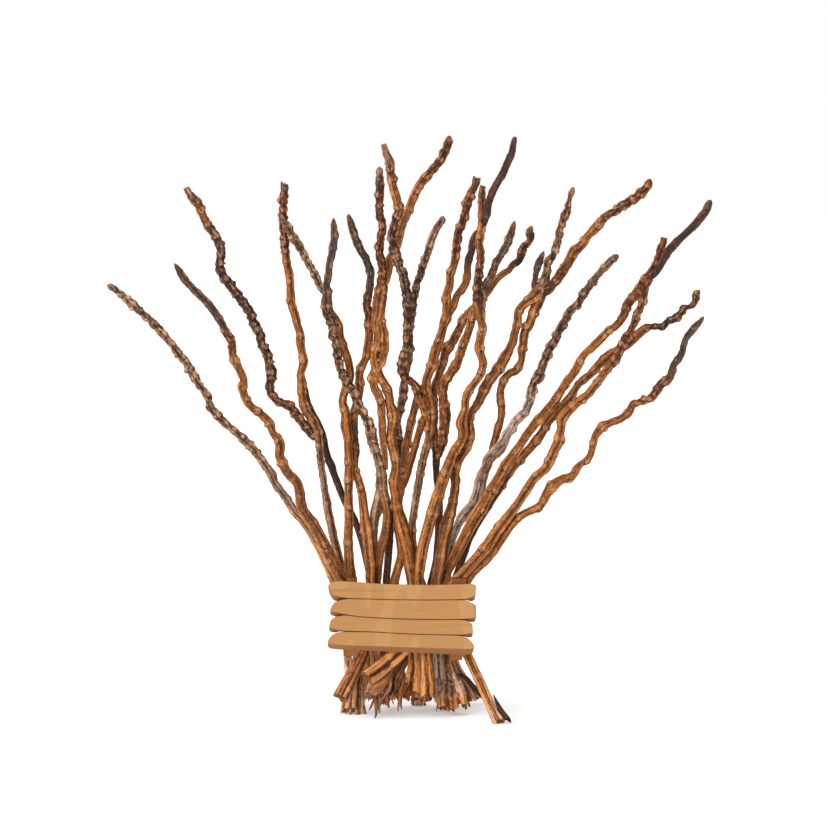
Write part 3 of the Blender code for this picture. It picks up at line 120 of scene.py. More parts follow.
# The stems' courses from the tip down: (across, up, width) as seen from the eye, on the upright plane through
# the middle.
STEM_01 = [
    (-298, 430, 4), (-293, 426, 7), (-284.5, 420, 7), (-273.5, 410, 9), (-262, 400, 7.5), (-252, 390, 9),
    (-243, 380, 8), (-234, 370, 8), (-227, 360, 8.5), (-218.5, 350, 8.5), (-213.5, 340, 9), (-207, 330, 8),
    (-200, 320, 8), (-194, 305, 8), (-187, 296, 9), (-180, 290, 8), (-168.5, 280, 8.5), (-160, 272, 10),
    (-150, 261, 8.5), (-142, 250, 9.5), (-135, 240, 9.5), (-131, 230, 8.5), (-123, 220, 9), (-116.5, 210, 9),
    (-110.5, 200, 9), (-104, 193, 9), (-95, 180, 9), (-86, 163, 9), (-79, 148, 9), (-73, 134, 10),
    (-66, 115, 10), (-62, 100, 10), (-60, 80, 10), (-58.5, 58, 9), (-57, 40, 10), (-56, 24, 12), (-55, 9, 15),
]
STEM_02 = [
    (-231, 451, 3), (-226, 443, 7), (-221, 435, 8), (-214, 427, 8), (-207, 420, 8), (-197, 410, 8),
    (-189.5, 400, 8.5), (-183, 390, 8), (-178.5, 380, 8), (-173.5, 372, 8), (-173, 360, 8.5), (-169, 350, 9),
    (-165.5, 343, 8), (-162.5, 335, 8), (-163, 325, 9), (-160, 315, 8), (-155, 308, 8), (-150, 303.5, 8.5),
    (-145, 300, 8.5), (-136, 290, 9), (-132.5, 280, 8), (-128, 275, 9), (-125.5, 268, 10), (-126.5, 260, 10),
    (-123, 250, 10), (-117.5, 240, 10), (-112, 235, 10), (-108.5, 230, 10), (-106, 220, 10.5),
    (-105, 210, 11), (-101, 200, 11), (-95, 192.5, 11.5), (-88, 180, 12), (-82, 167.6, 13), (-72, 147.7, 14),
    (-63.7, 133, 15), (-54, 114, 14), (-46, 100, 13), (-38, 80, 12), (-31, 60, 11), (-30, 44, 12),
    (-30, 30, 15), (-30, 15, 20),
]
STEM_03 = [
    (-121, 530, 5), (-121, 524, 8), (-122, 512, 8.5), (-122.3, 500, 8.5), (-121.8, 490, 9), (-121.5, 480, 8),
    (-121, 470, 9), (-119.8, 460, 8.5), (-118.5, 450, 9), (-116.5, 440, 9), (-115.4, 430, 8), (-115, 420, 9),
    (-114, 410, 8.5), (-111, 400, 9), (-108.7, 390, 8.5), (-105.8, 380, 8.5), (-105.5, 370, 9),
    (-103.5, 360, 8.5), (-102.5, 352, 9.5), (-105.3, 340, 8), (-104.8, 330, 8.5), (-104, 320, 9),
    (-102.8, 310, 9), (-100, 303, 9), (-95, 296, 10), (-91, 288, 11), (-88, 278, 10), (-86.5, 268, 8),
    (-86, 257, 8), (-84.5, 246, 8), (-83, 235, 7.5), (-81.8, 225, 7.5), (-80, 215, 8.5), (-78.5, 205, 9),
    (-76.5, 195, 9), (-74.5, 185, 9), (-72.5, 175, 9), (-70, 165, 9), (-67.5, 155, 9), (-65, 146, 9),
    (-61, 132, 10), (-55, 110, 10), (-51, 90, 10), (-48, 68, 10), (-49, 48, 12), (-51, 30, 17), (-53, 14, 23),
    (-54, -1, 26),
]
STEM_03_LEFT = [
    (-219, 526, 3), (-215.6, 520, 8), (-207, 510, 9.5), (-203, 500, 8.5), (-198, 490, 9), (-191, 480, 9),
    (-187, 473, 9.5), (-184, 464, 9), (-185, 457, 8.5), (-186, 450, 9), (-183, 440, 9), (-176, 430, 9.5),
    (-168.5, 420, 9), (-161, 410, 9.5), (-155, 400, 9.5), (-151, 390, 9), (-146, 380, 9.5), (-144, 370, 9),
    (-138.5, 360, 9), (-137, 350, 9), (-134, 343, 11), (-135.5, 335, 9), (-136, 325, 9), (-133, 318, 9),
    (-129, 313.5, 9), (-122, 310.5, 9), (-115, 307, 9), (-110, 300, 9.5), (-103, 291, 9.5), (-97, 283, 9),
    (-90, 276, 8),
]
STEM_04 = [
    (-104, 345, 3), (-103, 335, 6), (-100, 318, 7), (-96, 305, 8), (-88, 290, 8), (-83, 278, 8),
    (-80, 265, 7), (-77.5, 255, 7.5), (-74, 247, 8.5), (-72, 240, 7), (-69, 232, 7.5), (-66, 224, 7),
    (-63.5, 217, 7), (-58, 206, 7), (-53, 197, 7), (-49, 187, 7), (-45, 176, 7.5), (-41, 162, 8),
    (-38, 147, 8), (-34, 132, 8), (-30, 115, 8), (-31, 98, 8), (-34, 78, 8), (-36, 58, 9), (-37, 40, 9),
    (-38, 26, 11), (-38, 16, 13),
]
STEM_05 = [
    (-71.8, 496, 3), (-71.6, 490, 6), (-70.8, 480, 8), (-71.9, 470, 8), (-73.5, 460, 8), (-76.2, 450, 7.5),
    (-77, 440, 8), (-79, 430, 8), (-78.5, 420, 10), (-79, 410, 12), (-77, 400, 11), (-73.5, 390, 9),
    (-73, 380, 9), (-69, 370, 9), (-68, 360, 9), (-66.5, 350, 8.5), (-63, 340, 9), (-57.5, 330, 9),
    (-51, 320, 9.5), (-47, 310, 9), (-42, 300, 9), (-37, 291, 9.5), (-35, 282, 11), (-32.5, 270, 11),
    (-29, 259, 9.5), (-26, 250, 10), (-24.5, 242, 11), (-24, 234, 12.5), (-24, 226, 12), (-21.5, 216, 11),
    (-19.5, 207, 10), (-18.5, 197, 9), (-19.5, 187, 9), (-21, 178, 9.5), (-23.5, 169, 9.5), (-25.5, 160, 9.5),
    (-27, 150, 9), (-28, 140, 9), (-29, 132, 9), (-28, 112, 10), (-25, 94, 10), (-23, 76, 10), (-22, 58, 9),
    (-21, 42, 11), (-20, 28, 14), (-19, 12, 17),
]
STEM_05_LEFT = [
    (-125.5, 500, 3), (-124, 496, 6), (-119, 490, 7.5), (-113.6, 480, 8), (-107.6, 470, 8.5), (-102, 460, 8),
    (-96.4, 450, 8), (-91, 440, 8), (-86.5, 430, 7.5), (-80.5, 421, 8),
]
STEM_05_SPUR = [
    (-25, 224, 10), (-27, 215, 11), (-28.5, 206, 12), (-31, 196, 11), (-31.5, 187, 8), (-31.5, 177, 7),
    (-31.5, 166, 6), (-32, 155, 5), (-33, 146, 3),
]
STEM_06 = [
    (-76, 408, 3), (-74, 402, 6), (-70, 395, 8), (-66.5, 386, 8.5), (-65.5, 377, 8), (-63.5, 369, 9),
    (-60.5, 361, 8.5), (-58, 354, 8.5), (-56.5, 347, 8.5), (-56, 340, 9), (-56.5, 333, 8.5), (-60, 325, 9),
    (-62.5, 318, 8.5), (-63, 310, 9), (-60.5, 303, 9), (-60, 296, 10), (-60, 288, 12), (-58.5, 280, 11),
    (-58, 270, 9), (-57.5, 258, 9), (-57, 250, 9), (-57.5, 240, 9.5), (-57.5, 230, 9.5), (-57.5, 220, 9),
    (-57.5, 210, 9), (-57.5, 200, 9), (-57.5, 190, 9.5), (-58, 180, 9.5), (-58, 170, 10), (-57.5, 160, 10.5),
    (-57, 150, 11), (-56, 140, 12), (-55, 132, 12), (-50, 114, 12), (-44, 98, 12), (-40, 80, 12),
    (-42, 62, 13), (-51, 42, 14.5), (-60, 25, 16.5), (-66, 13, 17.5),
]
STEM_07 = [
    (-57.3, 500, 3), (-56, 495, 6.5), (-54, 489, 8), (-51.5, 480, 8), (-47.7, 470, 8), (-44.5, 463, 8.5),
    (-41, 458, 8), (-37.5, 450, 8.5), (-35, 440, 8.5), (-35.5, 432, 8), (-36.5, 424, 8), (-38, 416, 8.5),
    (-39, 409, 9), (-37, 400, 8.5), (-37.5, 390, 9), (-36.6, 380, 8.5), (-37.5, 370, 9), (-38.5, 364, 9.5),
    (-40, 356, 8.5), (-43.5, 349, 8.5), (-46.3, 341, 8.5), (-46, 333, 9), (-46, 324, 8.5), (-48, 315, 8.5),
    (-50.5, 306, 8.5), (-52, 297, 9), (-53, 288, 11), (-53, 278, 11), (-51.5, 268, 10), (-50.5, 261, 9.5),
    (-51, 254, 8), (-51, 247, 7), (-49.5, 240, 8), (-47, 233, 8.5), (-45, 225, 8.5), (-43.5, 217, 9),
    (-42.5, 208, 9.5), (-41.5, 199, 10), (-40.5, 190, 12), (-39, 181, 12.5), (-37.5, 172, 12),
    (-36.5, 162, 12), (-35.5, 152, 12), (-35, 142, 12), (-35, 132, 11.5), (-27, 114, 11), (-15, 98, 11),
    (-3, 80, 11), (7, 62, 12), (9, 48, 14), (8, 32, 18), (6.5, 16, 21),
]
STEM_08 = [
    (-26, 547, 3), (-26.2, 541, 7), (-25.6, 530, 8), (-26, 520, 8.5), (-26, 510, 8), (-26, 500, 8.5),
    (-23.7, 490, 8), (-24, 480, 8.5), (-26, 470, 8), (-26.5, 463, 8.5), (-24.5, 452, 8.5), (-23, 440, 9),
    (-23.5, 430, 12), (-25, 420, 14), (-26.5, 410, 13.5), (-27.5, 400, 13), (-30, 391, 10), (-28, 380, 9),
    (-28, 371, 9.5), (-31, 362, 9), (-31.5, 355, 9), (-30, 347, 9.5), (-27.3, 340, 9.5), (-24.5, 335, 9),
    (-21.5, 330, 9), (-18.5, 324, 10), (-16.5, 317, 8.5), (-16, 310, 9), (-14, 304, 11), (-12.8, 298, 12),
    (-13.8, 289, 9.5), (-14.8, 280, 9), (-14.5, 270, 9.5), (-12, 261, 9.5), (-10, 252, 9.5), (-10, 244, 9.5),
    (-11.3, 236, 10), (-12, 228, 10), (-10.5, 220, 10), (-9.5, 211, 10), (-7.5, 202, 11), (-5, 193, 13),
    (-3, 184, 14), (-1, 175, 14), (1, 166, 13.5), (2.5, 157, 13), (4, 148, 12.5), (5.5, 139, 12),
    (7, 131, 12), (10, 114, 12), (13, 98, 12), (17, 80, 12), (19, 62, 13), (20.5, 48, 15), (21.5, 32, 17),
    (22.5, 14, 18),
]
STEM_08_RIGHT = [
    (43.5, 578, 3), (43, 572, 8), (38, 560, 8.5), (32, 550, 9), (23.5, 540, 9), (15, 530, 9.5),
    (9.4, 520, 8.5), (5.3, 510, 9), (1.5, 500, 8.5), (-3, 490, 8.5), (-5.7, 480, 8.5), (-8, 470, 8.5),
    (-12, 462, 8.5), (-15.5, 455, 8.5), (-16.5, 447, 8.5), (-18, 440, 9), (-22, 430, 9),
]
STEM_08_LOOP = [
    (-25.5, 404, 9), (-24, 390, 9), (-22, 384, 9), (-21, 375, 9), (-20.5, 366, 9), (-22, 359, 9),
    (-24, 353, 9), (-27.5, 347, 9.5), (-31.5, 341, 9.5), (-32, 331, 9), (-30, 324, 9), (-27, 319, 9),
    (-25, 313, 8.5), (-24, 303, 8.5), (-23.3, 292, 8), (-23, 281, 8), (-22.3, 270, 7), (-21, 261, 6.5),
    (-20, 252, 5.5), (-19, 244, 3),
]
STEM_09 = [
    (71, 536, 4), (70, 531, 7.5), (64.8, 520, 8.5), (61.3, 510, 9), (59.2, 500, 8.5), (56, 490, 9),
    (52.2, 480, 8.5), (51.3, 470, 8.5), (50, 460, 9), (48.4, 450, 8.5), (44.7, 440, 8.5), (43.8, 430, 9),
    (41, 420, 9), (41, 410, 9.5), (41, 400, 11), (38, 390, 9.5), (35.5, 380, 9), (32.5, 371, 10),
    (29, 361, 11), (27, 351, 11), (23, 341, 10), (20.5, 333, 9.5), (20.5, 326, 9.5), (22, 318, 10.5),
    (24, 310, 11.5), (25, 302, 10.5), (25, 294, 9.5), (24.3, 286, 9), (23.3, 278, 8.5), (21.5, 270, 8.5),
    (19.3, 262, 9), (17.2, 254, 9), (15.5, 246, 9), (14, 238, 9), (12.5, 229, 8.5), (11, 219, 8.5),
    (9.5, 210, 8.5), (8, 200, 8), (6.5, 190, 8), (6.5, 178, 8), (8, 164, 8), (11, 148, 8), (15, 132, 9),
    (21, 114, 10), (26, 97, 10), (30, 80, 10), (31.5, 62, 11), (32.5, 48, 11.5), (34, 34, 12.5),
    (34.5, 27, 13),
]
STEM_09_LEFT = [
    (-22, 569, 3), (-21, 565, 7), (-19.3, 560, 8), (-15.6, 550, 8.5), (-14.8, 540, 8.5), (-13.3, 530, 9),
    (-10.8, 520, 9), (-7.8, 510, 9.5), (-7, 502, 9.5), (-9.5, 495, 9), (-12, 488, 9), (-14.4, 480, 8.5),
    (-13.4, 471, 8.5), (-11.5, 463, 9), (-8.5, 455, 9), (-6, 447, 9), (-3, 440, 9.5), (-1, 432, 9.5),
    (0.3, 423, 9.5), (1, 414, 9.5), (1.5, 406, 9), (1.7, 398, 9), (2, 390, 9), (1.8, 381, 9), (2, 373, 10),
    (2, 365, 11.5), (-1, 359, 10), (-4, 353, 9), (-5, 346, 8.5), (-3, 340, 8.5), (1.5, 335, 8.5),
    (7, 331, 8.5), (11, 325, 9), (13, 318, 10), (16, 311, 9), (19, 303, 9), (23, 294, 8),
]
STEM_09_RIGHT = [
    (70.5, 484, 3), (69, 478, 8), (67, 470, 7.5), (66, 463, 7.5), (63.5, 456, 8), (62, 448, 7.5),
    (61.5, 438, 8), (59.5, 430, 8), (55, 423, 8), (51, 418, 7.5), (48.5, 410, 8), (44, 401, 7),
]
STEM_10 = [
    (37.5, 498, 3), (36, 493, 7), (32, 488, 8), (28, 480, 8), (24.6, 470, 8), (21.5, 460, 8), (17.5, 450, 8),
    (14.3, 440, 8), (11, 430, 8), (8.8, 420, 7.5), (7.5, 410, 7.5), (6, 399, 7.5), (4.5, 388, 7.5),
    (4, 377, 7.5), (4, 366, 7.5), (3.5, 357, 7.5), (1.5, 349, 7.5), (0.5, 342, 7), (-1.5, 333, 7.5),
    (-2.5, 323, 9), (-3.5, 314, 9), (-5.5, 306, 8.5), (-8, 297, 8), (-8.5, 287, 7.5), (-7.5, 278, 8.5),
    (-5, 265, 9), (-5, 254, 8), (-7.5, 240, 8), (-10.5, 222, 8), (-13.5, 204, 8), (-15.5, 186, 8),
    (-16.5, 170, 8), (-17.5, 157, 8), (-18.5, 144, 8), (-19.5, 131, 8), (-16, 112, 8), (-10, 96, 8),
    (-6, 78, 8.5), (-7, 60, 9), (-9, 44, 9), (-8, 30, 10), (-7, 18, 11),
]
STEM_11 = [
    (16, 330, 3), (13.5, 322, 6), (10.8, 313, 8), (8.8, 304, 8), (6.5, 296, 8), (4.8, 288, 8.5),
    (3, 279, 8.5), (1.5, 271, 8.5), (0, 263, 9), (-0.5, 254, 9), (-1.5, 245, 9), (-3, 236, 9), (-5, 226, 9),
    (-7, 214, 9), (-8, 200, 9), (-7.5, 186, 9), (-5.5, 172, 9), (-4.5, 160, 8.5), (-6, 150, 9),
    (-8.5, 141, 9.5), (-11, 131, 10), (-10, 112, 10), (0, 92, 10), (8, 72, 10), (13, 52, 11), (14, 34, 12),
    (13, 20, 14), (13, 7, 15),
]
STEM_11_RIGHT = [
    (21, 306, 3), (18.5, 299, 6), (16.5, 291, 8), (14, 284, 8), (11.5, 276, 7.5), (9.5, 268, 7.5),
    (7, 260, 7.5), (4.5, 251, 7.5), (2, 242, 7.5), (-1, 233, 8), (-5, 225, 8),
]
STEM_12 = [
    (77, 528, 3), (76.3, 523, 7), (76, 512, 8.5), (76.5, 500, 9), (76, 490, 8.5), (74.5, 480, 8.5),
    (73.5, 471, 8.5), (75, 460, 8.5), (74.5, 450, 8.5), (73, 440, 8.5), (72.5, 431, 10), (74, 422, 14),
    (74, 411, 14), (74.5, 401, 11), (75.5, 394, 9), (77, 386, 8.5), (75, 377, 9), (73.5, 368, 9.5),
    (75, 360, 8.5), (77.5, 352, 8.5), (76.5, 345, 8.5), (73.5, 337, 8), (69, 331, 8), (64.5, 325, 8.5),
    (61, 318, 9), (59.5, 311, 8.5), (59.5, 304, 8.5), (57.5, 298, 10.5), (56, 291, 12.5), (57.5, 283, 11),
    (56, 274, 10), (51, 266, 9.5), (47.5, 260, 10), (44.5, 252, 11), (41.5, 244, 11.5), (38.5, 236, 12),
    (35.5, 227, 12), (32, 217, 12), (29, 208, 12.5), (26.5, 199, 12.5), (24, 190, 12.5), (21.5, 181, 12.5),
    (19, 172, 12.5), (17, 163, 12.5), (15.5, 154, 12), (14.5, 145, 11.5), (13.5, 136, 10.5), (14, 129, 10),
    (20, 114, 9.5), (31, 98, 9), (43, 82, 9), (55, 68, 8.5), (62, 57, 8.5), (69, 42, 8), (76, 27, 8),
    (83, 11, 8), (89, -3, 8.5), (95, -13, 10),
]
STEM_12_DARK = [
    (109, 577, 3), (108, 572, 5.5), (105.7, 560, 7.5), (101.3, 550, 8), (97, 540, 8), (91, 530, 8),
    (86, 520, 8), (82.8, 510, 8), (81, 500, 8), (77.5, 490, 8),
]
STEM_12_POINT = [
    (109, 493, 3), (107.5, 488, 6), (105, 480, 8), (101.5, 470, 8), (95.7, 460, 8), (90, 450, 8),
    (86, 440, 8), (81, 431, 8), (76, 422, 9),
]
STEM_12_HOOK = [
    (126, 488, 3), (123.5, 482, 7), (124.5, 476, 8), (121.5, 470.5, 6), (117, 466, 9), (115, 459, 8),
    (112.5, 453, 8), (107, 449.5, 7), (103, 444, 7), (98, 441, 7.5), (92, 436, 7), (87, 430, 7.5),
    (83, 424, 8), (76, 417, 8),
]
STEM_12_INNER = [
    (73, 412, 8), (64, 401, 8.5), (57.5, 395, 8.5), (55, 388, 8.5), (51, 380, 9), (46, 371, 10),
    (41, 364, 11), (38.5, 357, 8.5), (37, 350, 8.5), (34.5, 343, 8), (32, 336, 8), (29, 328, 8),
    (28, 318, 7.5), (28.5, 308, 7.5), (29, 298, 7.5), (29, 288, 7.5), (29.5, 278, 8), (30, 268, 8.5),
    (31, 258, 9), (30.5, 249, 7.5), (30.8, 241, 7), (31.5, 232, 7), (33, 222, 7), (34.5, 210, 7),
    (34, 199, 7.5), (33.5, 188, 8), (33, 176, 8), (32, 164, 8), (31, 152, 8), (28.5, 141, 8), (26, 131, 8),
    (24, 114, 8), (26, 97, 8), (31, 78, 8.5), (35, 60, 9), (36, 44, 10), (36, 28, 12), (37, 14, 13),
    (38, 3, 13),
]
STEM_12_MIDDLE = [
    (72, 414, 8), (67, 401, 9), (64.7, 391, 8.5), (62, 381, 8.5), (58, 372, 9), (55.5, 364, 9), (53, 356, 9),
    (48.5, 347, 11), (43.5, 339, 9.5), (38.5, 332, 11), (36.5, 325, 10.5), (37, 317, 10), (38, 309, 10.5),
    (39, 301, 12.5), (39, 293, 11.5), (38, 285, 10.5), (37.3, 277, 10), (36.3, 270, 9), (34, 262, 7),
    (32, 254, 4),
]
STEM_13 = [
    (167.5, 527, 3), (166, 523, 6), (163, 513, 5), (162.3, 507, 7), (158.7, 498, 8.5), (157, 492, 7.5),
    (153.8, 484, 8), (152.6, 474, 7), (150, 465, 8.5), (147, 458.5, 7), (142, 451, 8), (141, 444, 8),
    (140, 437, 8.5), (137.5, 430, 11), (134, 423, 14), (128, 417, 13), (121, 412, 9.5), (115.5, 406.5, 9),
    (112.3, 400, 9), (112, 393, 8.5), (110.5, 386, 8.5), (108.5, 379, 9), (107, 372, 9), (104, 365, 9.5),
    (100, 358, 11), (97, 352, 11), (93, 345.5, 11.5), (88.5, 339.5, 11), (83.5, 333.5, 11), (79.5, 326, 12),
    (76, 318, 10), (72, 310, 9), (67.5, 303, 8.5), (64.5, 296, 9), (64, 288, 10), (64, 279, 12),
    (62, 270, 11), (59, 262, 9.5), (54.5, 255, 9), (51.5, 248, 8.5), (49.5, 241, 10), (50, 233, 10),
    (49.5, 225, 10), (48.5, 217, 10), (47, 209, 10.5), (45, 201, 12), (42.5, 192, 13.5), (40, 183, 14),
    (38, 173, 13), (36.5, 162, 13), (34.5, 150, 13), (32, 138, 12.5), (31, 129, 12), (34, 112, 12),
    (37, 96, 11.5), (39.5, 78, 11), (41.5, 62, 10), (43, 48, 11), (46, 34, 15), (49, 20, 24), (51, 6, 27),
]
STEM_13_RIGHT = [
    (243.5, 535, 2), (241, 527, 9), (235, 521.5, 9), (229, 516, 9.5), (222, 511.5, 9), (214.5, 507, 8.5),
    (207, 502, 9), (200, 498, 8), (194.5, 491.5, 9), (188, 484.5, 9.5), (181, 477, 8), (176, 469.5, 9),
    (168.5, 463, 11), (164.5, 456, 10.5), (160, 448, 10.5), (154.5, 440, 11), (149.5, 433, 9.5),
    (144, 427, 11), (135, 421, 12),
]
STEM_13_POINT = [
    (138, 463, 2), (136.5, 459, 5.5), (133, 451, 8), (130.8, 444, 6.5), (129.5, 436, 6), (128.8, 428, 6),
    (128.5, 418, 7),
]
STEM_13_LOOP = [
    (136, 421, 10), (133, 412, 11), (129, 405, 11), (126.5, 398, 10), (124, 391, 10), (120, 384.5, 9.5),
    (118, 377, 9.5), (117.5, 370, 9), (116, 363, 8.5), (116, 356, 7.5), (114, 349.5, 8), (110, 343.5, 9),
    (104.5, 341, 8.5), (99.5, 336, 8.5), (96.5, 329, 8.5), (95, 322, 8), (95, 315, 8.5), (96, 308, 8.5),
    (96, 301, 8), (95, 294, 7.5), (93, 287, 8.5), (91, 280, 8), (89.3, 273, 8), (87, 266, 7.5), (85, 258, 5),
    (84, 252, 3),
]
STEM_14 = [
    (212.5, 459.5, 3), (210, 457.5, 6.5), (205, 453.5, 8.5), (200.5, 448.5, 8.5), (196.5, 444.5, 8),
    (191.5, 438.5, 7.5), (187, 432.5, 9), (182.5, 427, 8.5), (178.5, 421, 9), (174.5, 414.5, 8),
    (170, 408.5, 9), (164, 402.5, 8.5), (161, 396, 9), (157, 389.5, 9), (152.5, 382, 8), (149.5, 375, 9.5),
    (145, 368, 9.5), (142, 360, 9.5), (138.5, 353, 8.5), (135.5, 345, 9.5), (132.5, 337, 12), (128, 331, 8),
    (126.5, 324.5, 10), (125, 316, 9.5), (122.5, 308.5, 9), (118.5, 301, 9), (114, 296.5, 9), (109, 291, 9),
    (106, 285.5, 10), (101.5, 280, 9.5), (98.5, 273, 10), (94, 266, 13), (88, 260, 12), (83, 254, 11),
    (81, 247, 10), (77.5, 240, 11), (75, 232, 13), (73.5, 224, 12.5), (71, 216, 12), (67.5, 209, 11),
    (62, 203, 11), (57, 197, 11), (53, 190, 9), (49.5, 181, 7.5), (46, 171, 7.5), (43.5, 160, 7.5),
    (42, 147, 8), (42, 132, 8), (41, 114, 8), (41, 97, 8), (43, 78, 8), (47, 60, 8), (51, 46, 8), (58, 33, 8),
    (66, 21, 8), (72, 12, 9),
]
STEM_15 = [
    (258, 476.5, 5), (257, 472, 8.5), (254.5, 464, 8.5), (252.5, 456, 8), (250, 449, 8.5), (246, 442, 9),
    (241, 435, 12), (237, 428.5, 12), (232, 423, 9.5), (227.5, 417, 9.5), (222, 410, 10), (219.5, 403, 9.5),
    (217, 397, 8.5), (213, 391, 8.5), (208, 386.5, 8), (203, 383.5, 8.5), (199, 379, 8.5), (194, 374, 9.5),
    (189.5, 369.5, 9), (185, 365, 8.5), (180, 361, 8), (176, 355.5, 8.5), (173, 350, 8.5), (170, 344, 9.5),
    (166, 338, 9), (161, 332, 9), (157.5, 326, 8.5), (153.5, 320, 9), (150, 314, 9.5), (145.5, 308, 10),
    (141, 303, 10), (136, 297, 10), (130, 290.5, 10), (125, 284, 9.5), (120, 277, 9), (115.5, 270, 9),
    (111, 263, 9.5), (106, 256, 10.5), (101, 248.5, 12), (97, 241, 12), (92.5, 233, 12), (88, 225.5, 12),
    (83.5, 218, 12), (79, 210, 12.5), (74, 202, 13), (69, 194, 13), (64.5, 186, 12.5), (60, 177, 12),
    (55.5, 168, 12), (51, 159, 11.5), (46.5, 150, 11), (42, 141, 10), (38, 131, 10), (30, 112, 10),
    (20, 92, 10.5), (10, 73, 11), (2, 57, 11), (-5, 45, 11.5), (-11, 33, 13), (-13, 20, 16),
]
STEM_15_DARK = [
    (304.5, 514, 3), (302.5, 510.5, 6.5), (299.5, 503.5, 8.5), (294.5, 497, 9), (289.5, 490.5, 8.5),
    (283, 484, 8), (275, 476.5, 8), (267.5, 469, 9), (261, 461.5, 9), (256.5, 453, 8), (251, 444, 8),
    (244, 437, 8),
]
STEM_15_RIGHT = [
    (239.5, 429, 9), (238, 420, 9), (237, 413, 8), (235, 406.5, 8), (231.5, 400, 8), (229, 393.5, 8),
    (227, 387, 7.5), (224, 381, 8), (219.5, 375, 9.5), (217, 369, 9.5), (214, 363, 9.5), (211.5, 357, 9.5),
    (208, 352, 9.5), (204, 347.5, 8.5), (200, 342.5, 8.5), (196, 337, 8.5), (191.5, 331, 9),
    (187.5, 325.5, 9), (183, 320, 8.5), (178, 316, 9), (173, 312, 9), (167, 307, 9.5), (160.5, 301, 12),
    (156.5, 294, 10.5), (156, 286, 9), (154.5, 279, 10), (153.5, 272, 11), (150, 265, 11), (147, 258, 10.5),
    (144, 251, 10.5), (140.5, 245, 10), (134.5, 240, 9.5), (129, 235, 9.5), (125, 229, 10), (121, 222.5, 10),
    (116.5, 215.5, 9.5), (112, 208.5, 9.5), (107, 202, 10), (101.5, 195, 10.5), (96, 188, 11), (90, 180, 11),
    (84.5, 171.5, 11.5), (78, 163, 11.5), (72, 155.5, 11.5), (65.5, 148, 11.5), (59, 141, 11.5),
    (52, 133, 11.5), (40, 116, 11), (26, 98, 11), (13, 82, 11.5), (2, 69, 12), (-9, 57, 12.5), (-20, 48, 13),
    (-29, 41, 13.5), (-36, 36, 13.5),
]
STEM_16 = [
    (294, 424, 3), (291, 421, 7), (289.5, 415, 8), (288, 410.5, 7), (283.5, 407.5, 5), (278.5, 406.5, 7.5),
    (275.5, 402.5, 7), (271, 397, 8), (265.5, 394.5, 7.5), (260.5, 391.5, 7), (256, 388, 7.5),
    (251, 387.5, 6), (246, 387.5, 6.5), (241, 386.5, 8), (236.5, 383.5, 9.5), (231.5, 379, 10),
    (227, 375, 10), (222, 370, 9.5), (216, 366, 9), (209, 362, 9.5), (203, 358, 11), (198, 353.5, 11.5),
    (193, 349, 9), (189, 344, 8.5), (183.5, 339, 8), (178, 334, 8), (172.5, 329.5, 8), (169, 323.5, 8),
    (165.5, 317.5, 8.5), (160.5, 312, 8.5), (156, 307, 8.5), (151.5, 302, 9), (147, 296.5, 9),
    (142, 290.5, 8.5), (138, 283.5, 9), (134, 277, 10), (129, 271, 9.5), (123.5, 264.5, 9), (118, 258, 8.5),
    (112.5, 251.5, 8.5), (107, 245, 8.5), (102, 238, 8.5), (97, 230.5, 9), (92.5, 223, 9), (88, 216, 8.5),
    (83, 208, 8.5), (78, 200, 8.5), (72.5, 191.5, 8.5), (67.5, 182.5, 8.5), (63, 172.5, 8), (60, 163, 8),
    (56, 152, 8), (52.5, 141, 8), (48.5, 131, 8), (42, 114, 8.5), (35, 98, 9), (29, 80, 9), (26, 60, 9),
    (24, 44, 10), (25, 28, 12), (26, 16, 13),
]
STEM_17 = [
    (298, 398, 2), (296, 394.5, 4.5), (291, 388.5, 7.5), (285.5, 382, 8), (281, 376, 7), (278.5, 369.5, 7),
    (277, 362.5, 7.5), (273.5, 355.5, 8), (269, 349.5, 8), (267, 343, 8.5), (264.5, 336, 9.5),
    (259, 331.5, 10), (254, 328, 9), (251, 322.5, 9.5), (248, 317.5, 9), (243.5, 314.5, 7.5), (238, 313, 8.5),
    (233, 311.5, 7.5), (228, 309.5, 8), (225.5, 305, 9), (223.5, 301.5, 9.5), (219.5, 298, 8.5),
    (214.5, 294.5, 8.5), (209, 292.5, 8), (203, 290, 8.5), (198, 287.5, 10), (194, 283, 9.5),
    (190.5, 278, 8.5), (188.5, 271, 7.5), (187, 264, 7.5), (185, 258, 7.5), (181.5, 253, 7), (176, 249.5, 7),
    (172, 245, 8.5), (169.5, 240, 9), (165, 236, 9), (159, 234.5, 9.5), (152.5, 231, 11), (146.5, 225.5, 12),
    (142, 219.5, 10.5), (139, 213.5, 9.5), (136, 208.5, 9), (131, 204.5, 8.5), (125, 202, 8.5),
    (119, 199, 8.5), (113, 195, 8.5), (107.5, 189, 8.5), (102, 181.5, 8.5), (96.5, 173, 9), (91, 165, 9),
    (85, 157, 9.5), (78.5, 150, 9.5), (71.5, 143, 8.5), (65, 135, 8.5), (57, 122, 9), (50, 108, 9),
    (45, 92, 9), (43, 76, 9), (43, 60, 9), (46, 44, 10), (53, 28, 12), (60, 13, 14),
]

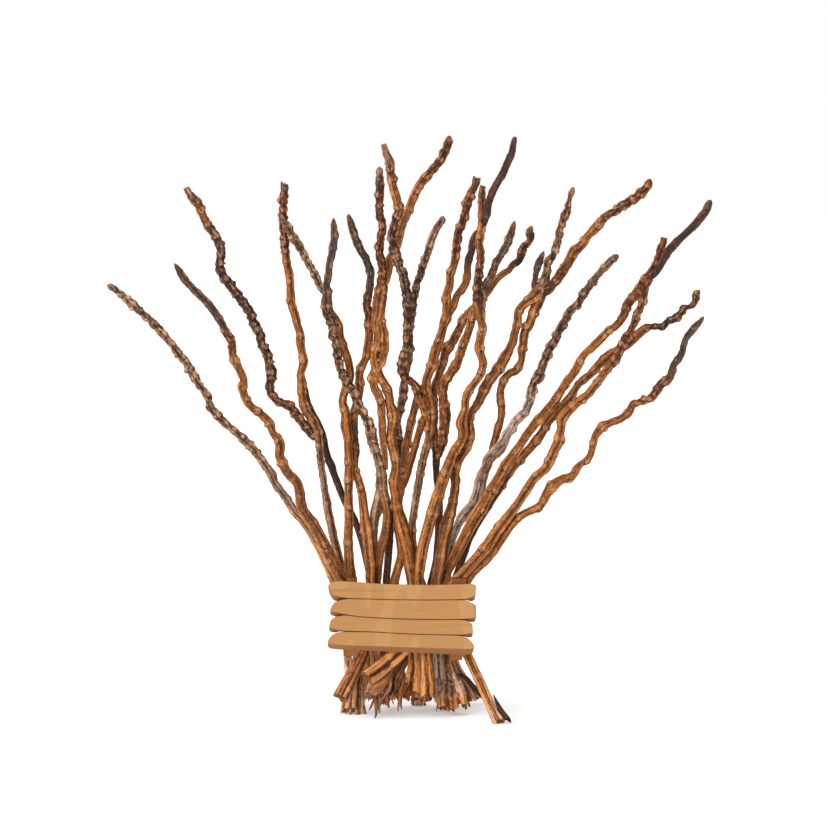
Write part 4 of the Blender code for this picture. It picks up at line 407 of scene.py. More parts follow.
# Each strand: its stem, its course, its depth at a few heights (nearer the eye is less), how it hangs on the
# stem's first strand ("joins" at its lower end, "leaves" at its upper end), and whether it stands.
STRANDS = [
    ("stem_01", STEM_01, [(430, 70), (98, 14), (9, 48)], "", True),
    ("stem_02", STEM_02, [(451, -55), (98, -8), (15, -38)], "", False),
    ("stem_03", STEM_03, [(530, 35), (300, 16), (98, 8), (-1, -12)], "", True),
    ("stem_03", STEM_03_LEFT, [(526, -25)], "joins", False),
    ("stem_04", STEM_04, [(345, 28), (98, 17), (16, 40)], "", False),
    ("stem_05", STEM_05, [(496, -25), (405, -12), (300, -6), (98, 4), (12, -12)], "", False),
    ("stem_05", STEM_05_LEFT, [(500, 25)], "joins", False),
    ("stem_05", STEM_05_SPUR, [(146, 12)], "leaves", False),
    ("stem_06", STEM_06, [(408, 2), (285, -2), (98, -6), (13, -62)], "", False),
    ("stem_07", STEM_07, [(500, -60), (430, -5), (315, 6), (98, 0), (16, -32)], "", False),
    ("stem_08", STEM_08, [(547, -30), (420, -18), (260, -15), (98, -12), (14, -30)], "", False),
    ("stem_08", STEM_08_RIGHT, [(578, 35)], "joins", False),
    ("stem_08", STEM_08_LOOP, [(244, -14)], "leaves", False),
    ("stem_09", STEM_09, [(536, 45), (400, 4), (360, -2), (300, -4), (200, 2), (98, 8), (27, -4)], "", False),
    ("stem_09", STEM_09_LEFT, [(569, -70), (400, -35)], "joins", False),
    ("stem_09", STEM_09_RIGHT, [(484, 80)], "joins", False),
    ("stem_10", STEM_10, [(498, 110), (300, 32), (170, 15), (98, 13), (18, 36)], "", False),
    ("stem_11", STEM_11, [(330, 22), (250, 12), (98, 12), (7, 44)], "", True),
    ("stem_11", STEM_11_RIGHT, [(306, 16)], "joins", False),
    ("stem_12", STEM_12, [(528, -25), (415, -20), (290, -18), (98, -17), (57, -24), (-13, -80)], "", True),
    ("stem_12", STEM_12_DARK, [(577, -95)], "joins", False),
    ("stem_12", STEM_12_POINT, [(493, -60)], "joins", False),
    ("stem_12", STEM_12_HOOK, [(488, 25)], "joins", False),
    ("stem_12", STEM_12_INNER, [(395, -6), (364, 9), (340, 11), (258, 10), (98, 10), (3, -4)],
     "leaves", False),
    ("stem_12", STEM_12_MIDDLE, [(254, 2)], "leaves", False),
    ("stem_13", STEM_13, [(527, 10), (420, 0), (290, -6), (98, 0), (6, 0)], "", True),
    ("stem_13", STEM_13_RIGHT, [(535, -60)], "joins", False),
    ("stem_13", STEM_13_POINT, [(463, 40)], "joins", False),
    ("stem_13", STEM_13_LOOP, [(330, 10), (252, 30)], "leaves", False),
    ("stem_14", STEM_14, [(459, 60), (260, 18), (98, 12), (12, 54)], "", True),
    ("stem_15", STEM_15, [(476, -15), (428, -10), (250, -4), (98, 0), (20, -26)], "", False),
    ("stem_15", STEM_15_DARK, [(514, -75)], "joins", False),
    ("stem_15", STEM_15_RIGHT, [(300, -14), (200, -16), (98, -27), (36, -64)], "leaves", False),
    ("stem_16", STEM_16, [(424, 45), (366, 8), (290, 4), (200, 8), (98, 16), (16, 24)], "", False),
    ("stem_17", STEM_17, [(398, -45), (240, -20), (190, -6), (98, 14), (13, 40)], "", False),
]

# The battens' sides, as (across, up) in the same view, clockwise from the upper left.
BATTENS = {
    "sign_batten_left": [(-59, 134.7), (-49, 134.4), (-49.4, 55), (-63, 55.6)],
    "sign_batten_right": [(46.6, 134), (60.4, 133.8), (57, 51.2), (45, 51.4)],
}

# The boards' faces in the same view: (across, up, how far the sawn underside shows below).
BOARDS = [
    [
        (-69.5, 131.7, 0), (-60, 131.4, 0), (-24, 128.6, 0), (18, 127.6, 0), (41, 128, 0), (71, 129, 0),
        (70.6, 122, 0), (69.7, 116, 3.4), (65.5, 114.6, 3.4), (60.8, 113, 0), (25, 112.4, 0), (-19, 112.8, 0),
        (-39, 113.5, 0), (-60, 114, 0), (-68, 115.8, 4.4), (-72.6, 116.6, 4.6), (-76.8, 121, 3),
        (-78.4, 125.8, 0), (-76.6, 129.8, 0),
    ],
    [
        (-60, 113.6, 0), (-39, 113.1, 0), (-19, 112.4, 0), (25, 112, 0), (60.8, 112.6, 0), (65.9, 109.6, 0),
        (71, 107, 0), (71, 103, 0), (70.5, 94.2, 3.6), (65.5, 93.7, 3.6), (60.3, 92.9, 0), (25, 92.6, 0),
        (-15, 93.6, 0), (-47, 95.4, 0), (-61.1, 97.6, 0), (-69.4, 99.6, 3.8), (-76, 100.6, 3.4),
        (-76.2, 102.6, 0), (-74, 107, 0), (-71, 110.8, 0),
    ],
    [
        (-61.1, 97.2, 0), (-47, 95, 0), (-15, 93.2, 0), (25, 92.2, 0), (60.3, 92.5, 0), (67.4, 88, 0),
        (67.2, 84, 0), (67.7, 80.4, 0), (67.2, 78.4, 3.4), (62.5, 77.8, 3.2), (56.2, 76.8, 0),
        (15.4, 77.6, 0), (-13.7, 78.8, 0), (-34, 80.2, 0), (-66.2, 81, 0), (-71.6, 82.9, 3.6),
        (-77.4, 84.2, 3.4), (-76.8, 88, 0), (-75, 93.2, 0), (-68.6, 95.4, 0),
    ],
    [
        (-66.2, 80.2, 0), (-34, 79.8, 0), (-13.7, 78.4, 0), (15.4, 77.2, 0), (56.2, 76.4, 0), (62.9, 73.7, 0),
        (68.5, 67.2, 0), (69, 64.6, 0), (66.9, 62.1, 5.4), (35.8, 62.9, 5), (0, 64, 4.4), (-34, 65.2, 4.2),
        (-63.7, 66.2, 4.2), (-78.6, 67.6, 4), (-78.6, 70.4, 0), (-77, 73.8, 0), (-73, 77.8, 0),
    ],
]

# Colours that the stems pass through, as they look in plain daylight.
TINTS = {
    "orange": (150, 88, 34),
    "brown": (122, 66, 30),
    "dark": (56, 33, 24),
    "grey": (146, 108, 82),
    "mud": (110, 74, 50),
    "tip": (84, 62, 50),
    "cut": (156, 116, 92),
    "pale": (216, 190, 170),
    "burr": (140, 110, 92),
    "umber": (80, 52, 38),
    "tan": (168, 116, 70),
}

# For each strand, in the same order: how its tip ends, and the tint at a few heights, from the top down.
LOOKS = [
    ("blunt", [(210, "grey"), (150, "orange"), (60, "grey"), (9, "pale")]),
    ("point", [
        (451, "brown"), (440, "tip"), (400, "tip"), (375, "brown"), (350, "orange"), (70, "brown"),
        (15, "grey"),
    ]),
    ("jag", [
        (530, "tip"), (515, "brown"), (470, "brown"), (440, "orange"), (320, "orange"), (250, "grey"),
        (200, "grey"), (130, "mud"), (60, "brown"), (30, "mud"), (-1, "grey"),
    ]),
    ("cut", [
        (526, "cut"), (512, "brown"), (500, "orange"), (480, "mud"), (460, "umber"), (400, "umber"),
        (340, "mud"), (310, "brown"), (276, "mud"),
    ]),
    # Strand 4 runs in shade behind the others: its dark tint lower down is painted shade.
    ("point", [(345, "mud"), (300, "dark")]),
    ("point", [
        (496, "brown"), (485, "tip"), (420, "tip"), (400, "mud"), (340, "mud"), (290, "grey"), (230, "grey"),
        (205, "orange"),
    ]),
    ("cut", [(440, "grey"), (421, "mud")]),
    ("point", [(180, "grey"), (146, "pale")]),
    ("point", [(98, "orange"), (60, "brown")]),
    ("point", [
        (500, "brown"), (485, "tip"), (430, "tip"), (410, "brown"), (370, "orange"), (300, "orange"),
        (285, "dark"), (265, "brown"), (240, "orange"),
    ]),
    ("blunt", [(547, "grey"), (530, "mud"), (500, "brown"), (440, "brown"), (400, "orange")]),
    ("blunt", [(550, "brown"), (520, "orange")]),
    ("point", [(250, "orange"), (244, "brown")]),
    ("jag", [
        (536, "tip"), (520, "brown"), (470, "brown"), (440, "orange"), (300, "orange"), (250, "grey"),
        (200, "grey"), (160, "orange"), (110, "orange"), (60, "pale"),
    ]),
    ("cut", [
        (558, "cut"), (545, "brown"), (520, "orange"), (498, "brown"), (480, "umber"), (400, "umber"),
        (355, "mud"), (330, "brown"), (294, "orange"),
    ]),
    ("point", [(484, "brown"), (455, "dark"), (430, "orange")]),
    ("blunt", [
        (498, "grey"), (480, "cut"), (455, "grey"), (430, "mud"), (300, "grey"), (240, "mud"), (200, "dark"),
    ]),
    ("point", [(60, "orange"), (25, "burr")]),
    ("point", [(306, "orange")]),
    ("cut", [
        (528, "brown"), (480, "orange"), (450, "brown"), (420, "umber"), (395, "orange"), (20, "orange"),
        (-13, "cut"),
    ]),
    ("blunt", [(577, "tip"), (565, "dark")]),
    ("point", [(493, "brown"), (475, "tip"), (422, "mud")]),
    ("blunt", [(488, "grey"), (478, "mud"), (465, "brown"), (452, "dark"), (440, "orange")]),
    ("point", [
        (412, "brown"), (340, "orange"), (290, "brown"), (245, "dark"), (100, "dark"), (40, "brown"),
        (20, "burr"), (3, "brown"),
    ]),
    ("point", [(414, "orange"), (254, "brown")]),
    ("blunt", [
        (527, "grey"), (510, "brown"), (450, "grey"), (430, "grey"), (415, "orange"), (120, "brown"),
        (70, "dark"), (41, "dark"), (34, "burr"), (21, "burr"), (12, "orange"),
    ]),
    ("blunt", [(500, "brown"), (480, "orange"), (435, "brown"), (421, "dark")]),
    ("point", [(463, "brown"), (450, "tip")]),
    ("point", [(421, "brown"), (400, "orange")]),
    ("blunt", [
        (459, "grey"), (445, "cut"), (425, "grey"), (330, "grey"), (285, "pale"), (250, "cut"), (190, "pale"),
        (120, "cut"),
    ]),
    ("cut", [(410, "brown"), (380, "orange"), (131, "orange"), (20, "dark")]),
    ("blunt", [(514, "tip"), (500, "dark")]),
    ("point", [(429, "dark"), (400, "brown"), (360, "brown"), (330, "orange")]),
    ("blunt", [
        (424, "grey"), (412, "mud"), (408, "brown"), (396, "umber"), (388, "umber"), (385, "orange"),
        (245, "orange"), (210, "dark"),
    ]),
    ("point", [
        (398, "brown"), (385, "tip"), (345, "tip"), (325, "brown"), (290, "orange"), (70, "orange"),
        (40, "cut"),
    ]),
]

# The worked surface of a stem: rows of points along it, with so many sides.
SIDES = 32
ROW_STEP = 1.5
PLATE_LONG, PLATE_WIDE = 5.6, 3.6
# The plates' level and height, and the painted shade in the crevices between them.
PLATE_LEVEL, PLATE_HIGH, PLATE_DARK = 0.8, 0.85, 0.8
CREVICE_STEEP = 3.0
LUMP_SCALE, LUMP_HIGH = 1.35, 1.5
BARE_BELOW = 0.08
BURR_SMOOTH = 0.65
GRAIN_ROUGH = 0.08
BARK_LEVEL, LEAST_RADIUS = 0.93, 0.3
WANDER_LENGTH, WANDER = 23.0, 0.3
SWELL_LENGTH, SWELL = 11.0, 0.06
RELIEF_RANGE = 2.2
BARK_APART = 60.0

# How the bark changes with height.
KNOBBLY = ((165.0, 0.12), (235.0, 0.5), (300.0, 1.0))
LOOSE_FIBRE = ((30.0, 0.75), (110.0, 0.0))
# How far the tints move towards tan lower down.
TAN_BELOW = ((70.0, 0.34), (125.0, 0.22), (190.0, 0.1), (240.0, 0.0))
# Painted light: how much the tints are brightened lower down, and the brightest any tint may become.
PAINTED_LIGHT_BELOW = ((70.0, 1.65), (125.0, 1.3), (190.0, 1.2), (240.0, 1.0))
BRIGHTEST = 0.75
GROOVE_DEEP = ((-20.0, 0.2), (45.0, 0.17), (110.0, 0.09), (190.0, 0.03), (300.0, 0.0))
GROOVE_THIN = ((3.0, 0.45), (7.0, 1.0))
FURROW = ((95.0, 0.0), (130.0, 1.0), (210.0, 1.0), (260.0, 0.0))
SCARS_FROM = ((150.0, 0.25), (240.0, 1.0))

# A swollen joint, the nub on one side of it, and the pit, ledge and band of the scar under the nub, all
# darkened with painted shade.
JOINT_FIRST = (3.0, 7.0)
JOINT_LAST = 3.0
JOINT_APART, JOINT_SPARSE = (6.5, 11.5), 1.1
JOINT_TURN = (-1.0, 1.0)
JOINT_HIGH = (0.35, 0.8)
JOINT_LONG = 2.3
JOINT_REACH = 10.0
NUB_HIGH = (0.9, 2.1)
NUB_LONG, NUB_WIDE = (1.7, 2.9), 1.5
PIT_LONG, PIT_WIDE, PIT_DEEP = 0.9, 1.3, 0.6
LEDGE_PAST, LEDGE_LONG, LEDGE_WIDE, LEDGE_DEEP = 1.35, 0.8, 1.9, 0.45
BAND_PAST, BAND_LONG, BAND_DARK = 2.6, 1.1, 0.75
THIN_HALF = 4.0

# An old flower scar on a smooth length: a lump with a crease round it and a pit in it, crease and pit
# darkened with painted shade.
SCAR_FIRST = (10.0, 26.0)
SCAR_LAST = 60.0
SCAR_APART = (15.0, 28.0)
SCAR_TURN = (-1.9, 1.9)
SCAR_SIZE, SCAR_LARGEST = (0.75, 1.0), 3.4
SCAR_WIDE, SCAR_OVAL, SCAR_HIGH = 0.8, 0.75, 0.42
SCAR_THINNEST = 2.0
SCAR_REACH = 9.0
SCAR_SWELL, SCAR_SWELL_HIGH = 3.4, 0.5
SCAR_PIT_PAST, SCAR_PIT_LONG, SCAR_PIT_WIDE, SCAR_PIT_DEEP, SCAR_PIT_DARK = 0.2, 0.8, 1.6, 0.7, 0.8
CREASE_AT, CREASE_WIDE, CREASE_DEEP, CREASE_DARK = 1.15, 0.25, 0.5, 0.85
SCAR_GREY, SCAR_GREY_WIDE = 0.7, 1.2

# Low ridges, as (how many, share of the radius), and the furrow down the front right of the smooth lengths;
# the ridges' troughs and the furrow are darkened with painted shade.
RIDGES = ((3, 0.05), (5, 0.045), (9, 0.03))
RIDGE_LENGTH, RIDGE_WANDER, RIDGE_DARK = 170.0, 0.8, 0.62
FURROW_LENGTH, FURROW_WANDER = 120.0, 0.3
FURROW_WIDE, FURROW_DEEP, FURROW_DARK = 1.9, 0.55, 0.42
FURROW_THIN = 5.0
FURROW_TURN = (-0.42, -0.1)

# Tips, and how each kind of tip runs out: share of the full width by distance from its end.
TIP_LONG = 9.0
TIP_CALM = ((0.0, 0.3), (9.0, 1.0))
JOINT_CALM = ((3.0, 0.3), (14.0, 1.0))
POINTED = ((0.0, 0.12), (3.0, 0.62), (9.0, 1.0))
BLUNTED = ((0.0, 0.8), (9.0, 1.0))
CUT_OFF = ((0.0, 0.74), (6.0, 0.8), (9.0, 1.0))
BLUNT_LONG = 0.55
JAGGED_WIDE = 0.93
TIP_FRAY = {"jag": (1.6, 1.8), "cut": (0.35, 0.4)}
TIP_FRAY_LONG = 5.0
TIP_SUNK = 0.4

# Cut feet: eight straps of fibre round a wide one and four round a narrow one, hollowed where the husk dried.
WIDE_FOOT = 11.0
STRAPS_WIDE, STRAPS_NARROW = 8, 4
STRAP_REACH = (-3.2, 2.4)
FIBRE_REACH = (-0.8, 1.0)
GROOVE_REACH = 2.2
GROOVE_SHARP, GROOVE_LEVEL, GROOVE_UNCUT = 0.45, 0.8, 0.6
# How strongly the grooves between the straps take painted shade, and the darkest it gets.
GROOVE_DARK, GROOVE_DARKEST = 4.0, 0.5
FOOT_FRAY_LONG = 12.0
HOLLOW = 4.0
END_RINGS = ((0.78, 0.0), (0.55, 1.0), (0.0, 1.0))
END_ROUGH, END_ROUGHEST = (-0.4, 0.4), 1.5
# Painted shade at the ends: deepening into the hollow of a cut foot, and a little over a plain cap.
END_DARK, CAP_DARK = 0.75, 0.15
END_FIBRE, STRAP_FIBRE = 0.6, 0.8
LEVEL_RELIEF = 0.5
NEAR_SURFACE = 0.3

# Torn straps past a cut foot: their section, and their shape along.
STRAP_SECTION = ((-1.0, -0.2), (0.0, -0.42), (1.0, -0.2), (1.0, 0.2), (0.0, 0.42), (-1.0, 0.2))
STRAP_LIFT = 0.15
STRAP_SHADE = ((0.0, 0.5), (0.5, 0.05), (1.0, 0.3))
TORN_SHARE = (0.0, 0.35, 0.6, 0.8, 0.93, 1.0)
TORN_WIDTH = (1.0, 1.0, 0.95, 0.82, 0.6, 0.22)
TORN_LEAST, TORN_SHARE_OF_WIDTH = 3, 0.35
TORN_ROOT = 6.0
TORN_LONG = (2.0, 7.0)
TORN_WIDE = (0.8, 3.0)
TORN_OUT = (0.5, 0.93)
TORN_LEAN = (-0.15, 0.35)
TORN_BEND, TORN_SWING = (-1.5, 2.2), (-1.5, 1.5)
TORN_TONE = (0.6, 1.3)
SPLINTER_STEP = 2.0
SPLINTER_OUTWARD = (0.0, -1.0, 0.1)

# Draws of chance start from these seeds, with the strand's number added.
BARK_SEED, TORN_SEED = 1000, 5000
SPLINTER_SEED = 80

# What each point of a stem carries: the kind of layer, its field, and how many numbers.
LAYERS = {
    "tint": ("FLOAT_COLOR", "color", 3),
    "shade": ("FLOAT", "value", 1),
    "relief": ("FLOAT", "value", 1),
    "cut": ("FLOAT", "value", 1),
    "fibre": ("FLOAT", "value", 1),
    "bark": ("FLOAT_VECTOR", "vector", 3),
}

# Feet that spread wider than their stem, by strand: in their husk, and for strand 4 a dark foot widened to
# fill the dark gap between the feet with painted shade.
FOOT_SPREAD = {
    4: ((70.0, 1.6), (112.0, 1.0)),
    16: ((70.0, 1.8), (112.0, 1.0)),
    19: ((30.0, 1.3), (90.0, 1.0)),
    25: ((28.0, 1.3), (44.0, 1.0)),
    32: ((70.0, 1.35), (112.0, 1.0)),
}

# Feet that were sawn clean across, by strand: how far they reach past their course, and their share of fray.
SAWN_FEET = {8: 0.5, 19: 0.0, 29: 0.0, 32: 4.0, 34: 0.0}
SAWN_ROUGH = 0.3

# Long splinters: the stem, the tint, and (across, up, width, depth) from the top down.
SPLINTERS = [
    ("stem_12", "dark", [
        (88.5, 16, 1, -60), (91, 10, 3, -66), (95.5, 1, 5, -72), (100, -6, 5.4, -78), (102, -9, 3.5, -82),
    ]),
    ("stem_12", "dark", [(95, 3, 2.5, -70), (100, -4, 4, -76), (104.5, -10, 3.4, -80), (106, -12, 1.4, -84)]),
    ("stem_02", "tan", [
        (-14, 40, 5, -28), (-21, 31, 8.5, -35), (-27, 25, 10.5, -39), (-32, 19.5, 11.5, -42),
        (-34, 17, 9, -44),
    ]),
    ("stem_02", "brown", [(-20, 30, 3, -34), (-20, 20, 4.5, -39), (-19, 10, 4.2, -44), (-17, 3, 2, -47)]),
    ("stem_02", "grey", [(-15, 34, 3, -33), (-16, 24, 3.6, -39), (-22, 13, 2.8, -43), (-26, 10, 1, -45)]),
    ("stem_02", "mud", [
        (-31, 20, 2, -36), (-30, 12, 3.6, -42), (-30, 4, 3.8, -46), (-30, -4, 2.4, -50), (-31, -8, 0.9, -52),
    ]),
    ("stem_02", "tan", [(-27, 18, 2, -37), (-27, 11, 2.8, -42), (-27, 3, 2.8, -46), (-26, -3, 1, -49)]),
    ("stem_02", "mud", [
        (-30, 18, 1.6, -38), (-33, 9, 2.4, -42), (-36, 2, 1.6, -45), (-37.5, -0.5, 0.7, -46),
    ]),
    ("stem_05", "brown", [(-18, 22, 3, -30), (-20, 10, 2.6, -36), (-18, 4, 0.8, -38)]),
    ("stem_07", "orange", [(0, 34, 2.6, -34), (-5, 18, 3, -42), (-7, 8, 2.8, -46), (-8, -1, 1, -50)]),
    ("stem_07", "orange", [(0, 32, 2, -34), (-7, 18, 2.2, -40), (-12, 10, 0.8, -44)]),
    ("stem_07", "brown", [(1, 28, 2.6, -36), (-4, 16, 2.6, -42), (-5, 6, 2.2, -46), (-4, 1, 0.9, -48)]),
    ("stem_12", "brown", [(40, 14, 4, -16), (45, 4, 4.4, -26), (49, -1, 1.6, -30)]),
    ("stem_14", "dark", [
        (52, 37, 2, 12), (58, 35, 4, 14), (68, 25, 4.6, 30), (77, 15, 5, 40), (80, 11, 3, 44),
    ]),
]

# How much of the scaly crust each tint carries, and how much of loose fibre.
CRUST = {
    "orange": 0.2, "brown": 0.85, "dark": 0.14, "grey": 0.9, "mud": 1.0, "tip": 0.4, "cut": 0.3, "pale": 0.5,
    "burr": 1.0, "umber": 1.0, "tan": 0.3,
}
FIBRE = {
    "orange": 0.15, "brown": 0.15, "dark": 0.0, "grey": 0.35, "mud": 0.1, "tip": 0.0, "cut": 0.6, "pale": 1.0,
    "burr": 0.2, "umber": 0.0, "tan": 0.5,
}

# The bark's streaks, crumbs and blotches: how short each is along the strand, its scale, its detail and its
# roughness. Its dots have the first two of these.
BARK_GRAIN = ((0.07, 0.85, 4.0, 0.6), (0.6, 0.6, 4.0, 0.7), (0.45, 0.14, 3.0, 0.5))
BARK_DOTS = (0.5, 0.36)

# Screen colours worked over the stems' tints, and those of the other pieces. The pale one for ridges is
# partly wear and partly painted highlight; the darkest is painted shade in the crevices.
BLOTCH, WEAR_AND_HIGHLIGHT, SPECK, CREVICE_SHADE = (128, 74, 34), (204, 160, 118), (50, 27, 14), (38, 17, 8)
FRESH_PALE, FRESH_DARK = (176, 124, 72), (118, 70, 32)
YARN_DARK, YARN_PALE, YARN_SOILED = (120, 88, 54), (196, 160, 112), (104, 74, 46)
# On the boards and battens the pale patches are painted highlight, and the side colour, on every face but the
# front, is painted shade.
TAN_BOARD = {
    "face": (175, 127, 77), "pale": (181, 134, 83), "side": (149, 100, 58), "grain_way": (10.0, 200.0, 240.0),
}
BROWN_BATTEN = {
    "face": (134, 79, 34), "pale": (146, 88, 40), "side": (88, 48, 22), "grain_way": (260.0, 260.0, 12.0),
}
BOARD_PATCHES = (52.0, 0.0, 16.0)
WHITE = (1.0, 1.0, 1.0, 1.0)


def place(across, up, depth):
    """The point in metres seen at (across, up) on the middle plane, moved along its sight line to depth."""
    far = 1.0 + depth / EYE_BACK
    return np.array([EYE_ACROSS + (across - EYE_ACROSS) * far, depth, EYE_UP + (up - EYE_UP) * far]) * MM


def ramp(x, points):
    """The value at x of a line through (place, value) pairs."""
    return np.interp(x, [p[0] for p in points], [p[1] for p in points])


def hump(*away):
    """1 in the middle, falling off smoothly; away is how far off a point is in each direction that counts."""
    return np.exp(-sum(part**2 for part in away))


def distances(rows):
    """How far along a run of rows each of them lies."""
    return np.concatenate([[0.0], np.cumsum(np.hypot(*np.diff(rows[:, :2], axis=0).T))])


def through(points, step):
    """Rows evenly spaced along the smooth curve through the given rows, which start with across and up."""
    rows = np.array(points, float)
    along = distances(rows)
    slopes = np.gradient(rows, along, axis=0)
    wanted = np.linspace(0.0, along[-1], max(3, round(along[-1] / step) + 1))
    index = np.clip(np.searchsorted(along, wanted, "right") - 1, 0, len(rows) - 2)
    length = (along[index + 1] - along[index])[:, None]
    t = ((wanted - along[index])[:, None]) / length
    start, end = rows[index], rows[index + 1]
    go, come = slopes[index] * length, slopes[index + 1] * length
    return (
        start * (2 * t**3 - 3 * t**2 + 1)
        + go * (t**3 - 2 * t**2 + t)
        + end * (3 * t**2 - 2 * t**3)
        + come * (t**3 - t**2)
    )


class Strand:
    """One run of a stem, as fine samples along its course with the depth that settling gives them."""

    def __init__(self, stem, course, knots, hang, stands):
        self.stem, self.hang, self.stands = stem, hang, stands
        self.course = course
        self.across, self.up, self.width = through(course, SETTLE_STEP).T
        self.knots = knots
        self.depth = self.first_depth = None
        self.trunk = None

    def start_depth(self, trunk):
        knots = dict(self.knots)
        if self.hang:
            self.trunk = trunk
            self.end = -1 if self.hang == "joins" else 0
            off = (trunk.across - self.across[self.end]) ** 2 + (trunk.up - self.up[self.end]) ** 2
            self.seat = int(off.argmin())
            knots[self.up[self.end]] = trunk.first_depth[self.seat]
        self.first_depth = ramp(self.up, sorted(knots.items()))
        self.depth = self.first_depth.copy()

    def reseat(self):
        """Bring the end that grows on the trunk back to the trunk's depth, easing off along the strand."""
        if self.trunk is None:
            return
        miss = self.trunk.depth[self.seat] - self.depth[self.end]
        away = np.arange(len(self.depth)) * SETTLE_STEP
        if self.end == -1:
            away = away[::-1]
        self.depth += miss * np.clip(1.0 - away / RESEAT_REACH, 0.0, 1.0)


def roundness(up):
    """How deep a stem is for its width: nearly round above, flatter towards the cut end."""
    return ramp(up, ((0.0, FOOT_ROUNDNESS), (FLAT_BELOW, FOOT_ROUNDNESS), (ROUND_ABOVE, ROUNDNESS)))


def ribbed_out(up):
    """The share by which the ribs of a cut end stand out at this height."""
    return RIB * np.clip((FOOT_TOP - up) / RIB_FADE, 0.0, 1.0)


def meeting_pairs(strands):
    """Samples of different stems that overlap in the front view, with the depth between them and its sign.

    Each separate meeting of two strands has its own sign: which of the two starts out in front there.
    """
    which = np.concatenate([np.full(len(s.up), n) for n, s in enumerate(strands)])
    stems = np.array([s.stem for s in strands])[which]
    across = np.concatenate([s.across for s in strands])
    up = np.concatenate([s.up for s in strands])
    width = np.concatenate([s.width for s in strands])
    deep = np.concatenate([s.first_depth for s in strands])
    half = width / 2 * (1.0 + ribbed_out(up))
    crowded = (across > CROWD_FROM) & (up > SQUEEZE_FROM) & (up < SQUEEZE_TO)
    sparse = (across > SPARSE_FROM) & (across < SPARSE_TO) & (up > FLARE_TOP) & (up < SPARSE_TOP)
    half += np.where(up < FLARE_TOP, FLARE_GAP, 0.0) + np.where(up > NUB_FROM, NUB_GAP, 0.0)
    half += np.where(crowded, CROWD_GAP, 0.0)
    half -= np.where(sparse, SNUG, 0.0)
    first, second, apart = [], [], []
    for i in range(len(across)):
        off = np.hypot(across[i + 1 :] - across[i], up[i + 1 :] - up[i])
        reach = half[i + 1 :] + half[i] + SETTLE_GAP
        near = np.nonzero((off < reach) & (stems[i + 1 :] != stems[i]))[0]
        first.append(np.full(len(near), i))
        second.append(near + i + 1)
        apart.append(np.sqrt(reach[near] ** 2 - off[near] ** 2))
    first, second, apart = (np.concatenate(part) for part in (first, second, apart))
    deepness = roundness(up) * np.where(up > FOOT_TOP, FACET, 1.0)
    apart *= (deepness[first] + deepness[second]) / 2
    code = which[first] * len(strands) + which[second]
    rank = np.lexsort((first, code))
    first, second, apart, code = first[rank], second[rank], apart[rank], code[rank]
    new_meeting = (np.diff(code) != 0) | (np.diff(first) > MEETING_BREAK)
    meeting = np.concatenate([[0], np.cumsum(new_meeting)])
    lead = np.bincount(meeting, weights=deep[first] - deep[second])
    return first, second, apart, np.where(lead[meeting] >= 0, 1.0, -1.0)


def settle(strands):
    """Move the strands apart in depth only, a little at a time, keeping each one smooth and its forks joined.

    The tie squeezes them together at the waist, and behind the sign none comes further forward than a limit.
    """
    first, second, apart, order = meeting_pairs(strands)
    up = np.concatenate([s.up for s in strands])
    half = np.concatenate([s.width for s in strands]) / 2
    front_limit = np.where((up > SIGN_FROM) & (up < SIGN_TO), FRONT_LIMIT + half, NO_LIMIT)
    squeezed = np.where((up > SQUEEZE_FROM) & (up < SQUEEZE_TO), SQUEEZE, 0.0)
    starts = np.cumsum([0] + [len(s.up) for s in strands])
    for turn in range(SETTLE_ROUNDS + LAST_ROUNDS):
        last = turn >= SETTLE_ROUNDS
        deep = np.concatenate([s.depth for s in strands])
        if not last:
            deep += squeezed * (SQUEEZE_DEPTH - deep)
        short = apart - order * (deep[first] - deep[second])
        touching = short > 0
        push = short[touching] * order[touching] / 2
        back, front = np.zeros((2, len(deep)))
        for index, share in ((first[touching], push), (second[touching], -push)):
            np.maximum.at(back, index, share)
            np.minimum.at(front, index, share)
        deep += (back + front) * (LAST_PUSH if last else SETTLE_PUSH)
        deep = np.maximum(deep, front_limit)
        for n, strand in enumerate(strands):
            moved = deep[starts[n] : starts[n + 1]] - strand.first_depth
            for _ in range(LAST_SMOOTHING if last else SETTLE_SMOOTHING):
                padded = np.concatenate([moved[:1], moved, moved[-1:]])
                moved = (padded[:-2] + 2 * padded[1:-1] + padded[2:]) / 4
            strand.depth = strand.first_depth + moved
        for strand in strands:
            strand.reseat()
    deep = np.concatenate([s.depth for s in strands])
    return float((apart - order * (deep[first] - deep[second])).max())


def settled_strands():
    strands = [Strand(*row) for row in STRANDS]
    trunks = {}
    for strand in strands:
        trunks.setdefault(strand.stem, strand)
        strand.start_depth(trunks[strand.stem])
    left = settle(strands)
    print(f"the stems still meet by {left:.2f} mm of the {SETTLE_GAP} mm gap")
    return strands


def convex_outline(points):
    """The corners of the smallest convex outline round the points, anticlockwise."""
    ordered = sorted(set(map(tuple, points)))
    sides = []
    for run in (ordered, ordered[::-1]):
        chain = []
        for p in run:
            while len(chain) > 1 and np.cross(
                np.subtract(chain[-1], chain[-2]), np.subtract(p, chain[-1])
            ) <= 0:
                chain.pop()
            chain.append(p)
        sides += chain[:-1]
    return np.array(sides)


def batten_plane(strands):
    """The depth of the battens' backs: lying on the front-most stem that passes behind either of them."""
    front = []
    for corners in BATTENS.values():
        across, up = zip(*corners)
        for strand in strands:
            half = strand.width / 2
            behind = strand.across + half > min(across) - BATTEN_MARGIN
            behind &= strand.across - half < max(across) + BATTEN_MARGIN
            behind &= (strand.up > min(up) - BATTEN_REACH) & (strand.up < max(up) + BATTEN_REACH)
            front += list((strand.depth - half * roundness(strand.up) * RIBBED_OUT)[behind])
    return min(front) - TOUCH_GAP


